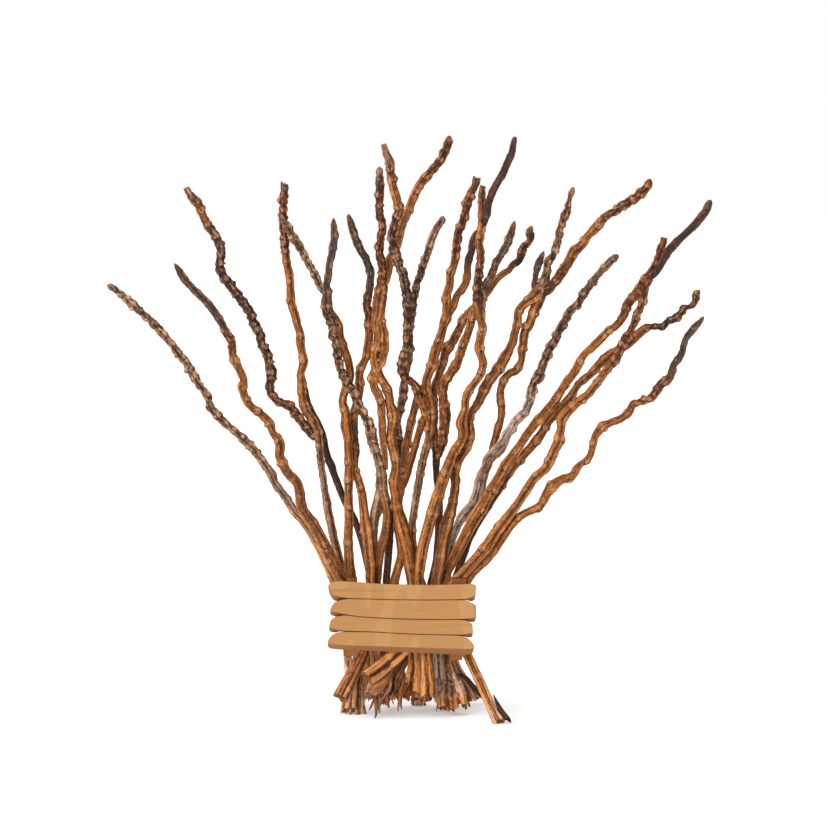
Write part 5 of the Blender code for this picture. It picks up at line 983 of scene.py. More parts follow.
def tie_route(strands, batten_back):
    """The closed line of the twine's middle: tight round the stems and through the battens' notches."""
    reach = TWINE / 2 + TIE_GAP
    band = TWINE * TIE_TURNS / 2 + TIE_NEAR
    hugged = []
    for strand in strands:
        for across, up, width, depth in zip(strand.across, strand.up, strand.width, strand.depth):
            if abs(up - TIE_UP) > band:
                continue
            x, y, _ = place(across, up, depth) / MM
            half = width / 2 * RIBBED_OUT
            flat = half * float(roundness(up))
            for turn in range(TIE_CORNERS):
                angle = math.tau * turn / TIE_CORNERS
                hugged.append((x + (half + reach) * math.cos(angle), y + (flat + reach) * math.sin(angle)))
    front = batten_back - BATTEN_THICK + NOTCH_DEEP - reach
    for corners in BATTENS.values():
        for side in (min(c[0] for c in corners) - reach, max(c[0] for c in corners) + reach):
            hugged.append((side * (1 + front / EYE_BACK), front))
            hugged.append((side * (1 + front / EYE_BACK), batten_back))
    corners = convex_outline(hugged)
    kept = [corners[0]]
    for corner in corners[1:]:
        if np.hypot(*(corner - kept[-1])) > TIE_CORNER_APART:
            kept.append(corner)
    return np.array(kept)


def linear(colour):
    """A screen colour of 0 to 255 as the light it stands for."""
    part = np.array(colour) / 255.0
    return np.where(part < 0.04045, part / 12.92, ((part + 0.055) / 1.055) ** 2.4)


def along_tints(tints, up, value_of):
    """A value that each named tint has, read at the heights of a strand's rows."""
    heights = [height for height, _ in tints][::-1]
    values = np.array([value_of(name) for _, name in tints][::-1], float)
    if values.ndim == 1:
        return np.interp(up, heights, values)
    return np.column_stack([np.interp(up, heights, column) for column in values.T])


def waves(draw, along, length, strength):
    """A gently wandering number along a strand."""
    total = np.zeros(len(along))
    for octave in range(3):
        total += np.sin(along / length * 2**octave * math.tau + draw.uniform(0, math.tau)) / 1.6**octave
    return total * strength / 2


def fine_course(strand):
    """The strand's course as closely spaced rows: middles, distance along, width and height."""
    rows = through(strand.course, ROW_STEP)
    across, up, width = rows.T
    along = distances(rows)
    coarse = distances(np.column_stack([strand.across, strand.up]))
    depth = np.interp(along / along[-1], coarse / coarse[-1], strand.depth)
    middles = np.array([place(a, u, d) for a, u, d in zip(across, up, depth)]) / MM
    return middles, along, width, up


def shape_tip(style, along, width):
    """The width near the tip: run out to a point, rounded off, cut straight across, or broken off."""
    full = np.interp(TIP_LONG, along, width)
    if style == "point":
        near = ramp(along, POINTED) * full
    elif style == "blunt":
        bend = np.clip(1.0 - along / (full * BLUNT_LONG), 0.0, 1.0)
        near = full * np.sqrt(np.clip(1.0 - bend**2, 0.02, 1.0)) * ramp(along, BLUNTED)
    elif style == "cut":
        near = ramp(along, CUT_OFF) * full
    else:
        near = np.full(len(along), full * JAGGED_WIDE)
    return np.where(along < TIP_LONG, near, width)


class Bark:
    """The surface of one strand as a grid of rows and sides: its relief, its painted shade and its tint."""

    def __init__(self, number, tints, along, half, up):
        self.draw = np.random.default_rng(BARK_SEED + number)
        self.along, self.half, self.up = along, half, up
        self.angle = np.arange(SIDES) * math.tau / SIDES
        burr = along_tints(tints, up, lambda name: name == "burr")
        self.woody = 1.0 - BURR_SMOOTH * burr
        self.scarred = along_tints(tints, up, lambda name: name in ("orange", "brown"))
        crust = along_tints(tints, up, CRUST.get)
        self.knobbly = np.maximum(ramp(up, KNOBBLY), burr) * crust * ramp(along, TIP_CALM)
        self.fibre = np.maximum(along_tints(tints, up, FIBRE.get), ramp(up, LOOSE_FIBRE))
        tint = along_tints(tints, up, lambda name: linear(TINTS[name]))
        # Lower down the tints move towards tan.
        tint += (linear(TINTS["tan"]) - tint) * ramp(up, TAN_BELOW)[:, None]
        # Painted light: lower down the tints are brightened, up to the brightest share.
        tint *= np.minimum(ramp(up, PAINTED_LIGHT_BELOW), BRIGHTEST / tint.max(axis=1))[:, None]
        self.tint = np.repeat(tint[:, None, :], SIDES, axis=1)
        self.relief, self.dark = np.zeros((2, len(along), SIDES))
        self.place_on = np.empty((len(along), SIDES, 3))
        self.place_on[:, :, 0] = along[:, None] + BARK_APART * number
        self.place_on[:, :, 1] = np.cos(self.angle) * half[:, None]
        self.place_on[:, :, 2] = np.sin(self.angle) * half[:, None]

    def window(self, at, reach):
        """The rows near a place along the strand, and how far each lies past it."""
        rows = slice(*np.searchsorted(self.along, (at - reach, at + reach)))
        return rows, self.along[rows, None] - at

    def turn_from(self, turn):
        """The angle round the strand from a direction to each side, from minus to plus half a turn."""
        return np.mod(self.angle[None, :] - turn + math.pi, math.tau) - math.pi

    def at(self, values, where):
        return float(np.interp(where, self.along, values))

    # Painted shade: a point keeps the darkest of the marks laid on it.
    def darken(self, mark, rows=slice(None)):
        self.dark[rows] = np.maximum(self.dark[rows], mark)

    def add_plates(self):
        """Scales of bark with crevices between them."""
        scale = (1.0 / PLATE_LONG, 1.0 / PLATE_WIDE, 1.0 / PLATE_WIDE)
        flat = (self.place_on * scale).reshape(-1, 3)
        plate = np.ones(len(flat))
        lumps = np.zeros(len(flat))
        for k in np.flatnonzero(np.repeat(self.knobbly > BARE_BELOW, SIDES)):
            near = noise.voronoi(flat[k])[0]
            plate[k] = min((near[1] - near[0]) * CREVICE_STEEP, 1.0)
            lumps[k] = noise.noise(flat[k] * LUMP_SCALE)
        plate = plate.reshape(self.relief.shape)
        lumps = lumps.reshape(self.relief.shape)
        share = self.knobbly[:, None] * np.clip(self.half / THIN_HALF, 0.35, 1.0)[:, None]
        self.relief += ((plate - PLATE_LEVEL) * PLATE_HIGH + lumps * LUMP_HIGH) * share
        # The crevices between plates are darkened with painted shade.
        open_bark = np.clip(self.knobbly * 1.3, 0.0, 1.0) * self.woody
        self.darken((1.0 - plate) ** 2 * PLATE_DARK * open_bark[:, None])

    def add_joints(self):
        """Swollen joints every few millimetres, each with a nub on one side and a sunk scar under it."""
        turn = self.draw.uniform(0, math.tau)
        at = self.draw.uniform(*JOINT_FIRST)
        while at < self.along[-1] - JOINT_LAST:
            strength = self.at(self.knobbly, at)
            thin = np.clip(self.at(self.half, at) / THIN_HALF, 0.3, 1.15)
            turn += math.pi + self.draw.uniform(*JOINT_TURN)
            high = self.draw.uniform(*NUB_HIGH) * (0.2 + 0.8 * strength) * thin * ramp(at, JOINT_CALM)
            long = self.draw.uniform(*NUB_LONG) * thin
            rows, past = self.window(at, JOINT_REACH)
            around = self.turn_from(turn) * self.half[rows, None]
            swell = hump(past / JOINT_LONG)
            self.relief[rows] += self.draw.uniform(*JOINT_HIGH) * (0.3 + 0.7 * strength) * swell * thin
            nub = hump(past / long, around / (long * NUB_WIDE))
            pit = hump(past / PIT_LONG, around / PIT_WIDE)
            ledge = hump((past - long * LEDGE_PAST) / LEDGE_LONG, around / (long * LEDGE_WIDE))
            self.relief[rows] += high * (nub - PIT_DEEP * pit - LEDGE_DEEP * ledge)
            # The band below the swelling, the pit and the ledge take painted shade.
            band = hump((past - BAND_PAST) / BAND_LONG) * (0.6 - 0.4 * np.cos(self.angle - turn))
            mark = (0.7 * pit + ledge) * (0.25 + 0.75 * strength)
            self.darken(np.maximum(mark, BAND_DARK * band * (0.35 + 0.65 * strength)), rows)
            at += self.draw.uniform(*JOINT_APART) * (1.0 + JOINT_SPARSE * (1.0 - strength))

    def add_scars(self):
        """Old flower scars on the smooth orange lengths: a grey lump ringed with a crease, the crease and the
        pit darkened with painted shade.
        """
        at = self.draw.uniform(*SCAR_FIRST)
        grey = linear(TINTS["mud"])
        while at < self.along[-1] - SCAR_LAST:
            height, half = self.at(self.up, at), self.at(self.half, at)
            strength = (1.0 - self.at(self.knobbly, at)) * ramp(height, SCARS_FROM)
            strength *= self.at(self.scarred, at)
            if self.draw.uniform() < strength and half > SCAR_THINNEST:
                turn = -math.pi / 2 + self.draw.uniform(*SCAR_TURN)
                size = min(half * SCAR_WIDE, SCAR_LARGEST) * self.draw.uniform(*SCAR_SIZE)
                rows, past = self.window(at, SCAR_REACH)
                around = self.turn_from(turn) * self.half[rows, None]
                radius = np.hypot(past, around * SCAR_OVAL) / size
                lump = np.exp(-(radius**3))
                crease = hump((radius - CREASE_AT) / CREASE_WIDE) * (0.35 + 0.65 * (past > 0))
                pit = hump((past - size * SCAR_PIT_PAST) / SCAR_PIT_LONG, around / SCAR_PIT_WIDE)
                swell = hump(past / SCAR_SWELL)
                high = SCAR_SWELL_HIGH * swell + size * SCAR_HIGH * lump
                self.relief[rows] += high - CREASE_DEEP * crease - SCAR_PIT_DEEP * pit
                self.darken(CREASE_DARK * crease + SCAR_PIT_DARK * pit, rows)
                share = (np.exp(-((radius / SCAR_GREY_WIDE) ** 4)) * SCAR_GREY)[:, :, None]
                self.tint[rows] = self.tint[rows] * (1.0 - share) + grey * share
            at += self.draw.uniform(*SCAR_APART)

    def add_ribs(self, foot):
        """Long ridges: low and wandering above, and straps with deep grooves between them at a cut end."""
        for count, share in RIDGES:
            phase = self.draw.uniform(0, math.tau) + waves(self.draw, self.along, RIDGE_LENGTH, RIDGE_WANDER)
            swing = np.sin(count * self.angle[None, :] + phase[:, None])
            self.relief += (share * self.half)[:, None] * swing
            # Painted shade in the troughs between the ridges.
            self.darken(RIDGE_DARK * np.clip(-swing, 0.0, 1.0) ** 5)
        self.straps = STRAPS_WIDE if self.half[-1] > WIDE_FOOT else STRAPS_NARROW
        shift = int(self.draw.integers(-1, 2))
        self.strap = ((np.arange(SIDES) + shift) * self.straps // SIDES) % self.straps
        self.ridge = np.abs(np.sin(math.pi * self.straps * ((np.arange(SIDES) + shift) / SIDES)))
        groove = self.ridge**GROOVE_SHARP
        deep = ramp(self.up, GROOVE_DEEP) * self.woody * ramp(self.half, GROOVE_THIN)
        deep *= 1.0 if foot else GROOVE_UNCUT
        self.relief += (deep * self.half)[:, None] * (groove - GROOVE_LEVEL)[None, :]
        # Painted shade in the grooves between the straps.
        self.darken(np.clip(deep * GROOVE_DARK, 0.0, GROOVE_DARKEST)[:, None] * (1.0 - groove)[None, :])

    def add_furrow(self):
        """A furrow down the front right of the smooth lengths above the waist, darkened with painted shade,
        where the dark specks gather too.
        """
        strength = ramp(self.up, FURROW) * np.clip(self.half / FURROW_THIN, 0.0, 1.0)
        turn = self.draw.uniform(*FURROW_TURN) * math.pi
        turn = turn + waves(self.draw, self.along, FURROW_LENGTH, FURROW_WANDER)
        away = self.turn_from(turn[:, None])
        furrow = hump(away * self.half[:, None] / FURROW_WIDE) * strength[:, None]
        self.relief -= FURROW_DEEP * furrow
        self.darken(FURROW_DARK * furrow)

    def add_grain(self):
        rough = self.draw.normal(0.0, GRAIN_ROUGH, self.relief.shape)
        self.relief += (rough + np.roll(rough, 1, axis=0)) * (0.4 + 0.6 * self.knobbly)[:, None]


def frame_rings(middles):
    """For each row of the course: the way along it, sideways across it, and through it front to back."""
    along = np.gradient(middles, axis=0)
    along /= np.linalg.norm(along, axis=1)[:, None]
    out = np.cross(along, [0.0, 1.0, 0.0])
    out /= np.linalg.norm(out, axis=1)[:, None]
    return along, out, np.cross(out, along)


def new_mesh(name, points, faces):
    mesh = bpy.data.meshes.new(name)
    mesh.from_pydata(points.tolist(), [], faces)
    return mesh


class Surface:
    """Points, faces and what each point carries, gathered for one piece."""

    def __init__(self):
        self.points, self.faces, self.count = [], [], 0
        self.carried = {name: [] for name in LAYERS}

    def add(self, points, **carried):
        """Take in points with what they carry, and say where they start."""
        start = self.count
        self.points.append(np.asarray(points))
        self.count += len(points)
        for name, (_, _, wide) in LAYERS.items():
            shape = (len(points), wide)[:wide]
            self.carried[name].append(np.broadcast_to(carried[name], shape))
        return start

    def add_band(self, low, high, sides):
        """Faces between two rings of points."""
        for k in range(sides):
            n = (k + 1) % sides
            self.faces.append((low + k, high + k, high + n, low + n))

    def mesh(self, name, shift):
        mesh = new_mesh(name, np.concatenate(self.points) * MM - shift, self.faces)
        for layer_name, (kind, field, _) in LAYERS.items():
            values = np.concatenate(self.carried[layer_name])
            if kind == "FLOAT_COLOR":
                values = np.column_stack([values, np.ones(self.count)])
            layer = mesh.attributes.new(layer_name, kind, "POINT")
            layer.data.foreach_set(field, values.astype("f").ravel())
        mesh.shade_smooth()
        return mesh


def stretch(points, forward, ease, reach):
    """Move an end's points along the strand, each side by its own reach, easing off from the end."""
    points += forward[:, None, :] * (ease[:, None] * reach[None, :])[:, :, None]


def strand_surface(surface, number, strand, style, tints):
    """Add one strand: its worked bark, its tip and its cut foot."""
    middles, along, width, up = fine_course(strand)
    own_tip = strand.hang != "leaves"
    if own_tip:
        width = shape_tip(style, along, width)
    width = width * ramp(up, FOOT_SPREAD.get(number, ((0.0, 1.0),)))
    half = width / 2 * (1.0 + middles[:, 1] / EYE_BACK)
    foot = up[-1] < FLARE_TOP
    bark = Bark(number, tints, along, half, up)
    draw = bark.draw
    bark.add_plates()
    bark.add_joints()
    bark.add_scars()
    bark.add_ribs(foot)
    bark.add_furrow()
    bark.add_grain()
    middles = middles + np.column_stack(
        [waves(draw, along, WANDER_LENGTH, WANDER) * bark.knobbly for _ in range(3)]
    )
    swell = BARK_LEVEL + waves(draw, along, SWELL_LENGTH, SWELL) * bark.knobbly
    radius = np.maximum(half[:, None] * swell[:, None] + bark.relief, half[:, None] * LEAST_RADIUS)
    forward, out, inward = frame_rings(middles)
    points = (
        middles[:, None, :]
        + out[:, None, :] * (np.cos(bark.angle) * radius)[:, :, None]
        + inward[:, None, :] * (np.sin(bark.angle) * radius * roundness(up)[:, None])[:, :, None]
    )
    if foot:
        reach = draw.uniform(*STRAP_REACH, bark.straps)[bark.strap] + draw.uniform(*FIBRE_REACH, SIDES)
        reach -= GROOVE_REACH * (1.0 - bark.ridge)
        if number in SAWN_FEET:
            reach = reach * SAWN_ROUGH + SAWN_FEET[number]
        ease = np.clip((along - along[-1] + FOOT_FRAY_LONG) / FOOT_FRAY_LONG, 0.0, 1.0) ** 1.5
        stretch(points, forward, ease, reach)
    if own_tip and style in TIP_FRAY:
        rough, slant = TIP_FRAY[style]
        reach = draw.uniform(-1.0, 1.0, SIDES) * rough
        reach += np.cos(bark.angle + draw.uniform(0, math.tau)) * slant
        stretch(points, forward, np.clip(1.0 - along / TIP_FRAY_LONG, 0.0, 1.0) ** 2, reach)
    if strand.stands or points[:, :, 2].min() < NEAR_SURFACE:
        points[:, :, 2] = np.maximum(points[:, :, 2], 0.0)
    start = surface.add(
        points.reshape(-1, 3),
        tint=bark.tint.reshape(-1, 3),
        shade=np.clip(bark.dark, 0.0, 1.0).ravel(),
        relief=np.clip(LEVEL_RELIEF + bark.relief / RELIEF_RANGE, 0.0, 1.0).ravel(),
        cut=0.0,
        fibre=np.repeat(bark.fibre, SIDES),
        bark=bark.place_on.reshape(-1, 3),
    )
    last = len(along) - 1
    for row in range(last):
        surface.add_band(start + row * SIDES, start + (row + 1) * SIDES, SIDES)
    sunk = TIP_SUNK if style in TIP_FRAY else 0.0
    close_end(surface, bark, points[0], -forward[0], start, sunk, 0, False)
    sunk = HOLLOW if foot else 0.0
    close_end(surface, bark, points[-1], forward[-1], start + last * SIDES, sunk, last, foot)


def close_end(surface, bark, rim, way, last, sunk, row, dark):
    """Close a strand's end: a thick broken rim round a sunk middle, or a plain rounded cap. With dark set it
    is a cut foot's end, whose hollow deepens into painted shade; otherwise the end takes a little painted
    shade.
    """
    centre = rim.mean(axis=0)
    for share, deep in END_RINGS:
        inner = centre + (rim - centre) * share - way * sunk * deep
        if not share:
            inner = inner.mean(axis=0)[None, :]
        elif sunk:
            inner += way * bark.draw.uniform(*END_ROUGH, (SIDES, 1)) * min(sunk, END_ROUGHEST)
        inner[:, 2] = np.maximum(inner[:, 2], 0.0)
        size = len(inner)
        fresh = surface.add(
            inner,
            tint=bark.tint[row, :1],
            shade=END_DARK * deep if dark else CAP_DARK,
            relief=LEVEL_RELIEF,
            cut=1.0 if sunk else 0.0,
            fibre=END_FIBRE,
            bark=bark.place_on[row, :size] * (1.0 - 0.5 * deep) + (deep, 0, 0),
        )
        for k in range(SIDES):
            n = (k + 1) % SIDES
            face = (last + k, fresh + k, fresh + n, last + n) if size > 1 else (last + k, fresh, last + n)
            surface.faces.append(face if dark or row else face[::-1])
        last = fresh


def add_strap(surface, centres, wide, outward, tone, seed):
    """A flat strap of fibre along a row of middles, with its broad side facing outward."""
    way = np.gradient(centres, axis=0)
    way /= np.linalg.norm(way, axis=1)[:, None]
    across = np.cross(way, outward)
    across /= np.linalg.norm(across, axis=1)[:, None]
    inward = np.cross(across, way)
    sides = len(STRAP_SECTION)
    points, bark = [], []
    for row, centre in enumerate(centres):
        for a, b in STRAP_SECTION:
            points.append(centre + across[row] * a * wide[row] + inward[row] * b * wide[row])
            bark.append((row * 2.5, a * wide[row] + 9.0 * seed, b * wide[row] + 7.0 * seed))
    points = np.array(points)
    points[:, 2] = np.maximum(points[:, 2], STRAP_LIFT)
    shade = np.repeat(ramp(np.linspace(0, 1, len(centres)), STRAP_SHADE), sides)
    start = surface.add(
        points, tint=tone, shade=shade, relief=LEVEL_RELIEF, cut=0.0, fibre=STRAP_FIBRE, bark=bark
    )
    last = start + sides * (len(centres) - 1)
    for low in range(start, last, sides):
        surface.add_band(low, low + sides, sides)
    surface.faces.append(tuple(range(start, start + sides)))
    surface.faces.append(tuple(range(last, last + sides))[::-1])


def torn_straps(surface, number, strand, tints):
    """Split slivers and straps of fibre that stick out past a cut end."""
    draw = np.random.default_rng(TORN_SEED + number)
    middles, _, width, up = fine_course(strand)
    root, (forward, out, inward) = middles[-1], (way[-1] for way in frame_rings(middles))
    flat = float(roundness(up[-1:])[0])
    half = width[-1] / 2
    tone = linear(TINTS[tints[-1][1]])
    share = np.array(TORN_SHARE)
    for _ in range(int(TORN_LEAST + width[-1] * TORN_SHARE_OF_WIDTH)):
        turn = draw.uniform(0, math.tau)
        length = draw.uniform(*TORN_LONG) + TORN_ROOT
        side = out * math.cos(turn) + inward * math.sin(turn) * flat
        start = root + side * half * draw.uniform(*TORN_OUT) - forward * TORN_ROOT
        way = forward + side * draw.uniform(*TORN_LEAN)
        bend = side * draw.uniform(*TORN_BEND) + np.cross(forward, side) * draw.uniform(*TORN_SWING)
        centres = start + way / np.linalg.norm(way) * length * share[:, None] + bend * share[:, None] ** 2
        wide = draw.uniform(*TORN_WIDE) * np.array(TORN_WIDTH)
        add_strap(surface, centres, wide, side, tone * draw.uniform(*TORN_TONE), number + turn)


def long_splinters(surfaces):
    """The few long splinters and the split sheath that stand clear of the feet."""
    for number, (stem, name, course) in enumerate(SPLINTERS):
        rows = through([row[:3] for row in course], SPLINTER_STEP)
        depth = ramp(rows[:, 1], [(up, deep) for _, up, _, deep in course][::-1])
        centres = np.array([place(a, u, d) for (a, u, _), d in zip(rows, depth)]) / MM
        outward, tone = np.array(SPLINTER_OUTWARD), linear(TINTS[name])
        add_strap(surfaces[stem], centres, rows[:, 2] / 2, outward, tone, SPLINTER_SEED + number)


class Amount:
    """A number, colour or vector that changes over a surface. Sums written with it become nodes."""

    def __init__(self, nodes, socket):
        self.nodes, self.socket = nodes, socket

    def maths(self, operation, *values):
        return self.nodes.node("ShaderNodeMath", {"operation": operation}, dict(enumerate(values)))

    def __add__(self, other):
        return self.maths("ADD", self, other)

    def __sub__(self, other):
        return self.maths("SUBTRACT", self, other)

    def __rsub__(self, other):
        return self.maths("SUBTRACT", other, self)

    def __mul__(self, other):
        return self.maths("MULTIPLY", self, other)

    __radd__ = __add__
    __rmul__ = __mul__

    def at_least(self, low):
        return self.maths("MAXIMUM", self, low)

    def between(self, low, high):
        """0 below low, 1 above high, and smooth between."""
        values = {"Value": self, "From Min": low, "From Max": high}
        return self.nodes.node("ShaderNodeMapRange", {"interpolation_type": "SMOOTHSTEP"}, values)


class Nodes:
    """A tree of shader nodes, made through a single method."""

    def __init__(self, tree):
        self.tree = tree

    def node(self, kind, settings=None, values=None, out=0):
        made = self.tree.nodes.new(kind)
        for key, value in (settings or {}).items():
            setattr(made, key, value)
        for key, value in (values or {}).items():
            self.give(made.inputs[key], value)
        return Amount(self, made.outputs[out])

    def give(self, socket, value):
        """A link from an amount, or a plain value."""
        if isinstance(value, Amount):
            self.tree.links.new(value.socket, socket)
        else:
            socket.default_value = value


class Finish(Nodes):
    """One material."""

    def __init__(self, name):
        self.material = bpy.data.materials.new(name)
        self.material.use_nodes = True
        super().__init__(self.material.node_tree)
        self.shader = self.tree.nodes["Principled BSDF"]

    def carried(self, name, out=2):
        """What the mesh carries under that name: a number, or with out=0 a colour and with out=1 a vector."""
        return self.node("ShaderNodeAttribute", {"attribute_name": name}, out=out)

    def mix(self, share, first, second):
        return self.node("ShaderNodeMix", {"data_type": "RGBA"}, {0: share, 6: first, 7: second}, out=2)

    def stretched(self, vector, scale):
        return self.node("ShaderNodeVectorMath", {"operation": "MULTIPLY"}, {0: vector, 1: scale})

    def brightened(self, colour, factor):
        return self.node("ShaderNodeVectorMath", {"operation": "SCALE"}, {0: colour, "Scale": factor})

    def noise(self, vector, scale, detail, roughness):
        values = {"Vector": vector, "Scale": scale, "Detail": detail, "Roughness": roughness}
        return self.node("ShaderNodeTexNoise", None, values)

    def set(self, **values):
        for key, value in values.items():
            self.give(self.shader.inputs[key.replace("_", " ")], value)

    def raise_by(self, height, strength, distance):
        values = {"Height": height, "Strength": strength, "Distance": distance}
        self.set(Normal=self.node("ShaderNodeBump", None, values))


def colour(*rgb):
    return (*linear(rgb), 1.0)


def bark_finish():
    """Dried bark: the strand's own tint, streaked along, lighter on raised relief and darker in hollows as
    painted light and shade, with painted shade in the crevices, and pale on the ridges partly from wear and
    partly as painted highlight.
    """
    bark = Finish("dried_bark")
    tint, place_on = bark.carried("tint", 0), bark.carried("bark", 1)
    shade, relief, cut, fibre = (bark.carried(name) for name in ("shade", "relief", "cut", "fibre"))
    streaks, crumbs, blotches = (
        bark.noise(bark.stretched(place_on, (squeeze, 1.0, 1.0)), *grain) for squeeze, *grain in BARK_GRAIN
    )
    squeeze, scale = BARK_DOTS
    values = {"Vector": bark.stretched(place_on, (squeeze, 1.0, 1.0)), "Scale": scale}
    dots = bark.node("ShaderNodeTexVoronoi", None, values)
    streaky = (streaks - 0.5) * (2.0 + fibre * 1.6)
    # Raised relief is made lighter and hollows darker, as painted light and shade, together with the grain's
    # streaks and crumbs.
    value = (relief - 0.5) * 1.5 + streaky + (crumbs - 0.5) * (2.1 - fibre * 1.2)
    base = bark.mix(blotches.between(0.5, 0.68) * 0.35, tint, colour(*BLOTCH))
    base = bark.brightened(base, (value * 1.2 + 0.95).at_least(0.18))
    light_of = bark.node("ShaderNodeRGBToBW", None, {0: tint})
    # Pale on the raised ridges and fibres of the lighter tints: partly wear, partly painted highlight.
    wear_and_highlight = value.between(0.15, 0.85) * (0.34 + fibre * 0.35) * light_of.between(0.0, 0.045)
    base = bark.mix(wear_and_highlight, base, colour(*WEAR_AND_HIGHLIGHT))
    speck = (1.0 - dots.between(0.1, 0.26)) * (shade.between(0.05, 0.4) + 0.25)
    base = bark.mix(speck * 0.8, base, colour(*SPECK))
    # Painted shade: the crevices, pits, grooves and hollows darkened from the shade layer.
    crevice_shade = (shade + (0.5 - crumbs) * 0.9).between(0.22, 0.82)
    base = bark.mix(crevice_shade * 0.92, base, colour(*CREVICE_SHADE))
    wood = bark.mix(streaks.between(0.35, 0.65), colour(*FRESH_PALE), colour(*FRESH_DARK))
    base = bark.mix(cut * (1.0 - shade * 0.8), base, wood)
    rough = 0.36 + crumbs * 0.25 + fibre * 0.25 + cut * 0.2
    bark.set(Base_Color=base, Roughness=rough, Specular_IOR_Level=0.22)
    bark.raise_by(streaks * (0.5 + fibre) + crumbs * 0.9, 0.9, 0.0011)
    return bark.material


def board_finish(name, face, pale, side, grain_way):
    """Sawn softwood: an even face with faint grain and pale patches of painted highlight, and a darker side
    colour on every face but the front as painted shade.
    """
    board = Finish(name)
    where = board.node("ShaderNodeTexCoord", out=3)
    grain = board.noise(board.stretched(where, grain_way), 1.0, 5.0, 0.6)
    patches = board.noise(board.stretched(where, BOARD_PATCHES), 1.0, 0.0, 0.0)
    facing = board.node("ShaderNodeSeparateXYZ", None, {0: board.node("ShaderNodeNewGeometry", out=1)}, out=1)
    # Pale patches: painted highlight.
    skin = board.mix(patches.between(0.53, 0.545), colour(*face), colour(*pale))
    skin = board.mix(grain.between(0.52, 0.72) * 0.35, skin, colour(*side))
    # Painted shade: every face but the front takes the side colour.
    skin = board.mix((facing * -1.0).between(0.75, 0.95), colour(*side), skin)
    board.set(Base_Color=skin, Roughness=0.6 + grain * 0.2, Specular_IOR_Level=0.25)
    board.raise_by(grain, 0.25, 0.0004)
    return board.material


def twine_finish():
    twine = Finish("rough_twine")
    where = twine.node("ShaderNodeTexCoord", out=3)
    hairs = twine.noise(where, 900.0, 4.0, 0.7)
    wide = twine.noise(where, 120.0, 2.0, 0.5)
    yarn = twine.mix(hairs.between(0.35, 0.65), colour(*YARN_DARK), colour(*YARN_PALE))
    yarn = twine.mix(wide.between(0.4, 0.7) * 0.35, yarn, colour(*YARN_SOILED))
    twine.set(Base_Color=yarn, Roughness=0.9)
    twine.raise_by(hairs, 0.6, 0.0005)
    return twine.material


def soft_outline(corners):
    """The outline with its corners eased and its long sides broken into short lengths."""
    ring = np.array(corners, float)
    near, far = 1.0 - CORNER_CUT, CORNER_CUT
    for _ in range(CORNER_ROUNDS):
        after = np.roll(ring, -1, axis=0)
        ring = np.column_stack([ring * near + after * far, ring * far + after * near]).reshape(-1, 3)
    return ring


def drawn_in(ring, inset):
    """The outline pulled inwards by a little."""
    ahead = np.roll(ring[:, :2], -1, axis=0) - np.roll(ring[:, :2], 1, axis=0)
    ahead /= np.linalg.norm(ahead, axis=1)[:, None]
    shrunk = ring.copy()
    shrunk[:, 0] += ahead[:, 1] * inset
    shrunk[:, 1] -= ahead[:, 0] * inset
    return shrunk


def new_piece(mesh, finish):
    """An object in the scene that has its mesh's name, with the finish on it."""
    mesh.materials.append(finish)
    piece = bpy.data.objects.new(mesh.name, mesh)
    bpy.context.scene.collection.objects.link(piece)
    return piece


def make_boards(batten_back, shift, finish):
    """Each board from its face outline: a narrow eased edge, and a sawn underside that slopes away behind."""
    front = batten_back - BATTEN_THICK - TOUCH_GAP - PLANK_THICK
    for number, corners in enumerate(BOARDS, 1):
        edge = soft_outline(corners)
        face = drawn_in(edge, BOARD_EDGE)
        size = len(edge)
        rings = []
        for ring, behind, drop in ((face, 0.0, 0.0), (edge, BOARD_EDGE, 0.0), (edge, PLANK_THICK, 1.0)):
            rings.append([place(a, u - (under + BOARD_LAP) * drop, front + behind) for a, u, under in ring])
        faces = [tuple(range(size))[::-1], tuple(range(2 * size, 3 * size))]
        for low in (0, size):
            for k in range(size):
                n = (k + 1) % size
                faces.append((low + n, low + size + n, low + size + k, low + k))
        mesh = new_mesh(f"board_{number}", np.array(rings).reshape(-1, 3) - shift, faces)
        piece = new_piece(mesh, finish)
        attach(piece, "root")
        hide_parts(f"sign_plank_{number}")


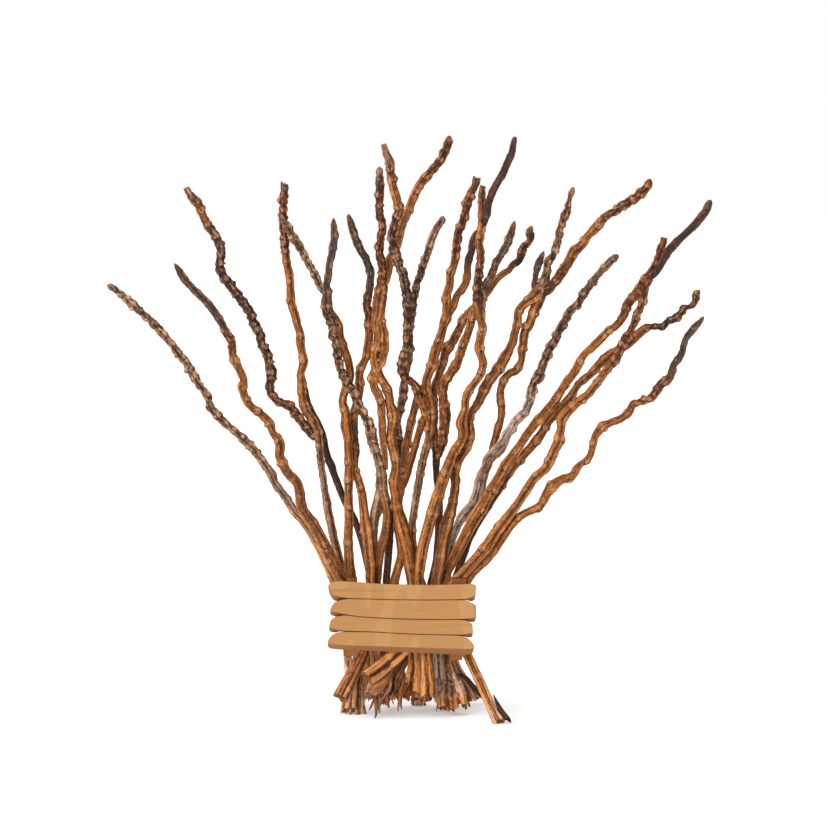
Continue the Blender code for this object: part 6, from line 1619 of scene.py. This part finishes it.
def make_twine(strands, batten_back, shift, finish):
    """Three turns of two-ply twine laid side by side round the stems and through the battens' notches."""
    route = tie_route(strands, batten_back)
    loop = np.vstack([route, route[:1]])
    along = distances(loop)
    count = int(along[-1] / TWINE_STEP)
    wanted = np.linspace(0.0, along[-1], count, endpoint=False)
    middle = np.column_stack([np.interp(wanted, along, column) for column in loop.T])
    for _ in range(TWINE_SMOOTHING):
        middle = (np.roll(middle, 1, axis=0) + 2 * middle + np.roll(middle, -1, axis=0)) / 4
    ahead = np.roll(middle, -1, axis=0) - np.roll(middle, 1, axis=0)
    ahead /= np.linalg.norm(ahead, axis=1)[:, None]
    outward = np.column_stack([ahead[:, 1], -ahead[:, 0]])
    angle = np.arange(TWINE_SIDES) * math.tau / TWINE_SIDES
    middle_up = place(0, TIE_UP, 0)[2] / MM
    least, swell = TWINE_PLY
    points, faces = [], []
    for turn in range(TIE_TURNS):
        lay = np.round(along[-1] / TWINE_LAY) * wanted / along[-1] * math.tau + turn
        radius = TWINE / 2 * (least + swell * np.abs(np.cos(angle[None, :] - lay[:, None])))
        ring = np.empty((count, TWINE_SIDES, 3))
        ring[:, :, 0] = middle[:, :1] + outward[:, :1] * np.cos(angle) * radius
        ring[:, :, 1] = middle[:, 1:] + outward[:, 1:] * np.cos(angle) * radius
        ring[:, :, 2] = middle_up + (turn - (TIE_TURNS - 1) / 2) * TWINE + np.sin(angle) * radius
        points.append(ring.reshape(-1, 3))
        first = turn * count
        for row in range(count):
            low, high = (first + row) * TWINE_SIDES, (first + (row + 1) % count) * TWINE_SIDES
            for k in range(TWINE_SIDES):
                n = (k + 1) % TWINE_SIDES
                faces.append((low + k, low + n, high + n, high + k))
    mesh = new_mesh("twine_turns", np.concatenate(points) * MM - shift, faces)
    mesh.shade_smooth()
    piece = new_piece(mesh, finish)
    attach(piece, "root")
    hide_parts("tie_twine")


def find_shift(batten_back):
    """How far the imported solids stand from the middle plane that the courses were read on, in metres."""
    low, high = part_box("sign_batten_left")
    corner = min(place(a, u, batten_back - BATTEN_THICK)[0] for a, u in BATTENS["sign_batten_left"])
    return np.array([corner - low[0], batten_back * MM - high[1], 0.0])


def make_stems(strands, shift):
    finish = bark_finish()
    surfaces = {}
    for number, (strand, (style, tints)) in enumerate(zip(strands, LOOKS)):
        surface = surfaces.setdefault(strand.stem, Surface())
        strand_surface(surface, number, strand, style, tints)
        if strand.up[-1] < FLARE_TOP and number not in SAWN_FEET:
            torn_straps(surface, number, strand, tints)
    long_splinters(surfaces)
    for name, surface in surfaces.items():
        piece = new_piece(surface.mesh(name + "_bark", shift), finish)
        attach(piece, "root")
        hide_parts(name)


def dress_battens():
    strut = board_finish("brown_batten", **BROWN_BATTEN)
    for name in BATTENS:
        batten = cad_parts[name]
        batten.data.materials.clear()
        batten.data.materials.append(strut)


def make_floor():
    plain = Finish("pale_floor")
    plain.set(Base_Color=(FLOOR_PALE, FLOOR_PALE, FLOOR_PALE, 1.0), Roughness=0.9)
    plain.set(Emission_Color=WHITE, Emission_Strength=FLOOR_GLOW)
    bpy.ops.mesh.primitive_plane_add(size=FLOOR_WIDE, location=(0.0, 0.0, 0.0))
    floor = bpy.context.object
    floor.name = "floor"
    floor.data.materials.append(plain.material)


def hold(thing, way):
    """A lamp or a camera in the scene, looking that way."""
    holder = bpy.data.objects.new(thing.name, thing)
    holder.rotation_euler = way.to_track_quat("-Z", "Y").to_euler()
    bpy.context.scene.collection.objects.link(holder)
    return holder


def make_light():
    """A soft room, brightest from the upper left in front, with a mild lamp high behind."""
    world = bpy.data.worlds.new("soft_studio")
    bpy.context.scene.world = world
    world.use_nodes = True
    room = Nodes(world.node_tree)
    values = {0: room.node("ShaderNodeTexCoord"), 1: Vector(ROOM_WAY).normalized()}
    facing = room.node("ShaderNodeVectorMath", {"operation": "DOT_PRODUCT"}, values, out=1)
    values = {"Value": facing}
    values["From Min"], values["From Max"] = ROOM_FADE
    values["To Min"], values["To Max"] = ROOM_LIGHT
    strength = room.node("ShaderNodeMapRange", {"interpolation_type": "SMOOTHSTEP"}, values)
    glow = room.node("ShaderNodeBackground", None, {"Color": WHITE, "Strength": strength})
    backdrop = room.node("ShaderNodeBackground", None, {"Color": WHITE, "Strength": 1.0})
    seen = room.node("ShaderNodeLightPath")
    mixed = room.node("ShaderNodeMixShader", None, {0: seen, 1: glow, 2: backdrop})
    room.give(room.tree.nodes["World Output"].inputs["Surface"], mixed)
    lamp = bpy.data.lights.new("lamp", "SUN")
    lamp.energy = LAMP_LIGHT
    lamp.angle = math.radians(LAMP_SOFT)
    hold(lamp, Vector(LAMP_WAY))


def make_camera(shift):
    lens = bpy.data.cameras.new("photo_view")
    lens.sensor_width = SENSOR
    lens.sensor_fit = "HORIZONTAL"
    eye = Vector((EYE_ACROSS, -EYE_BACK, EYE_UP)) * MM - Vector(shift)
    aim = Vector((AIM_ACROSS, 0.0, AIM_UP)) * MM - Vector(shift)
    lens.lens = SENSOR * (aim - eye).length / (FRAME_WIDE * MM)
    lens.clip_start, lens.clip_end = NEAREST, FURTHEST
    holder = hold(lens, aim - eye)
    holder.location = eye
    bpy.context.scene.camera = holder
    bpy.context.scene.view_settings.view_transform = "Standard"


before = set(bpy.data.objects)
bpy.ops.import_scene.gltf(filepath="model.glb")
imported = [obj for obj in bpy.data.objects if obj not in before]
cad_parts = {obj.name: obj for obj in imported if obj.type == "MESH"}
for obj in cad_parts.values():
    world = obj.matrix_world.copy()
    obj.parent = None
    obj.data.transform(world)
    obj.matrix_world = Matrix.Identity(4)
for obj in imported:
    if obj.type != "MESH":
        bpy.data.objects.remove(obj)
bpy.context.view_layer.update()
strands = settled_strands()
batten_back = batten_plane(strands)
shift = find_shift(batten_back)
make_stems(strands, shift)
make_twine(strands, batten_back, shift, twine_finish())
make_boards(batten_back, shift, board_finish("tan_board", **TAN_BOARD))
dress_battens()
make_floor()
make_light()
make_camera(shift)
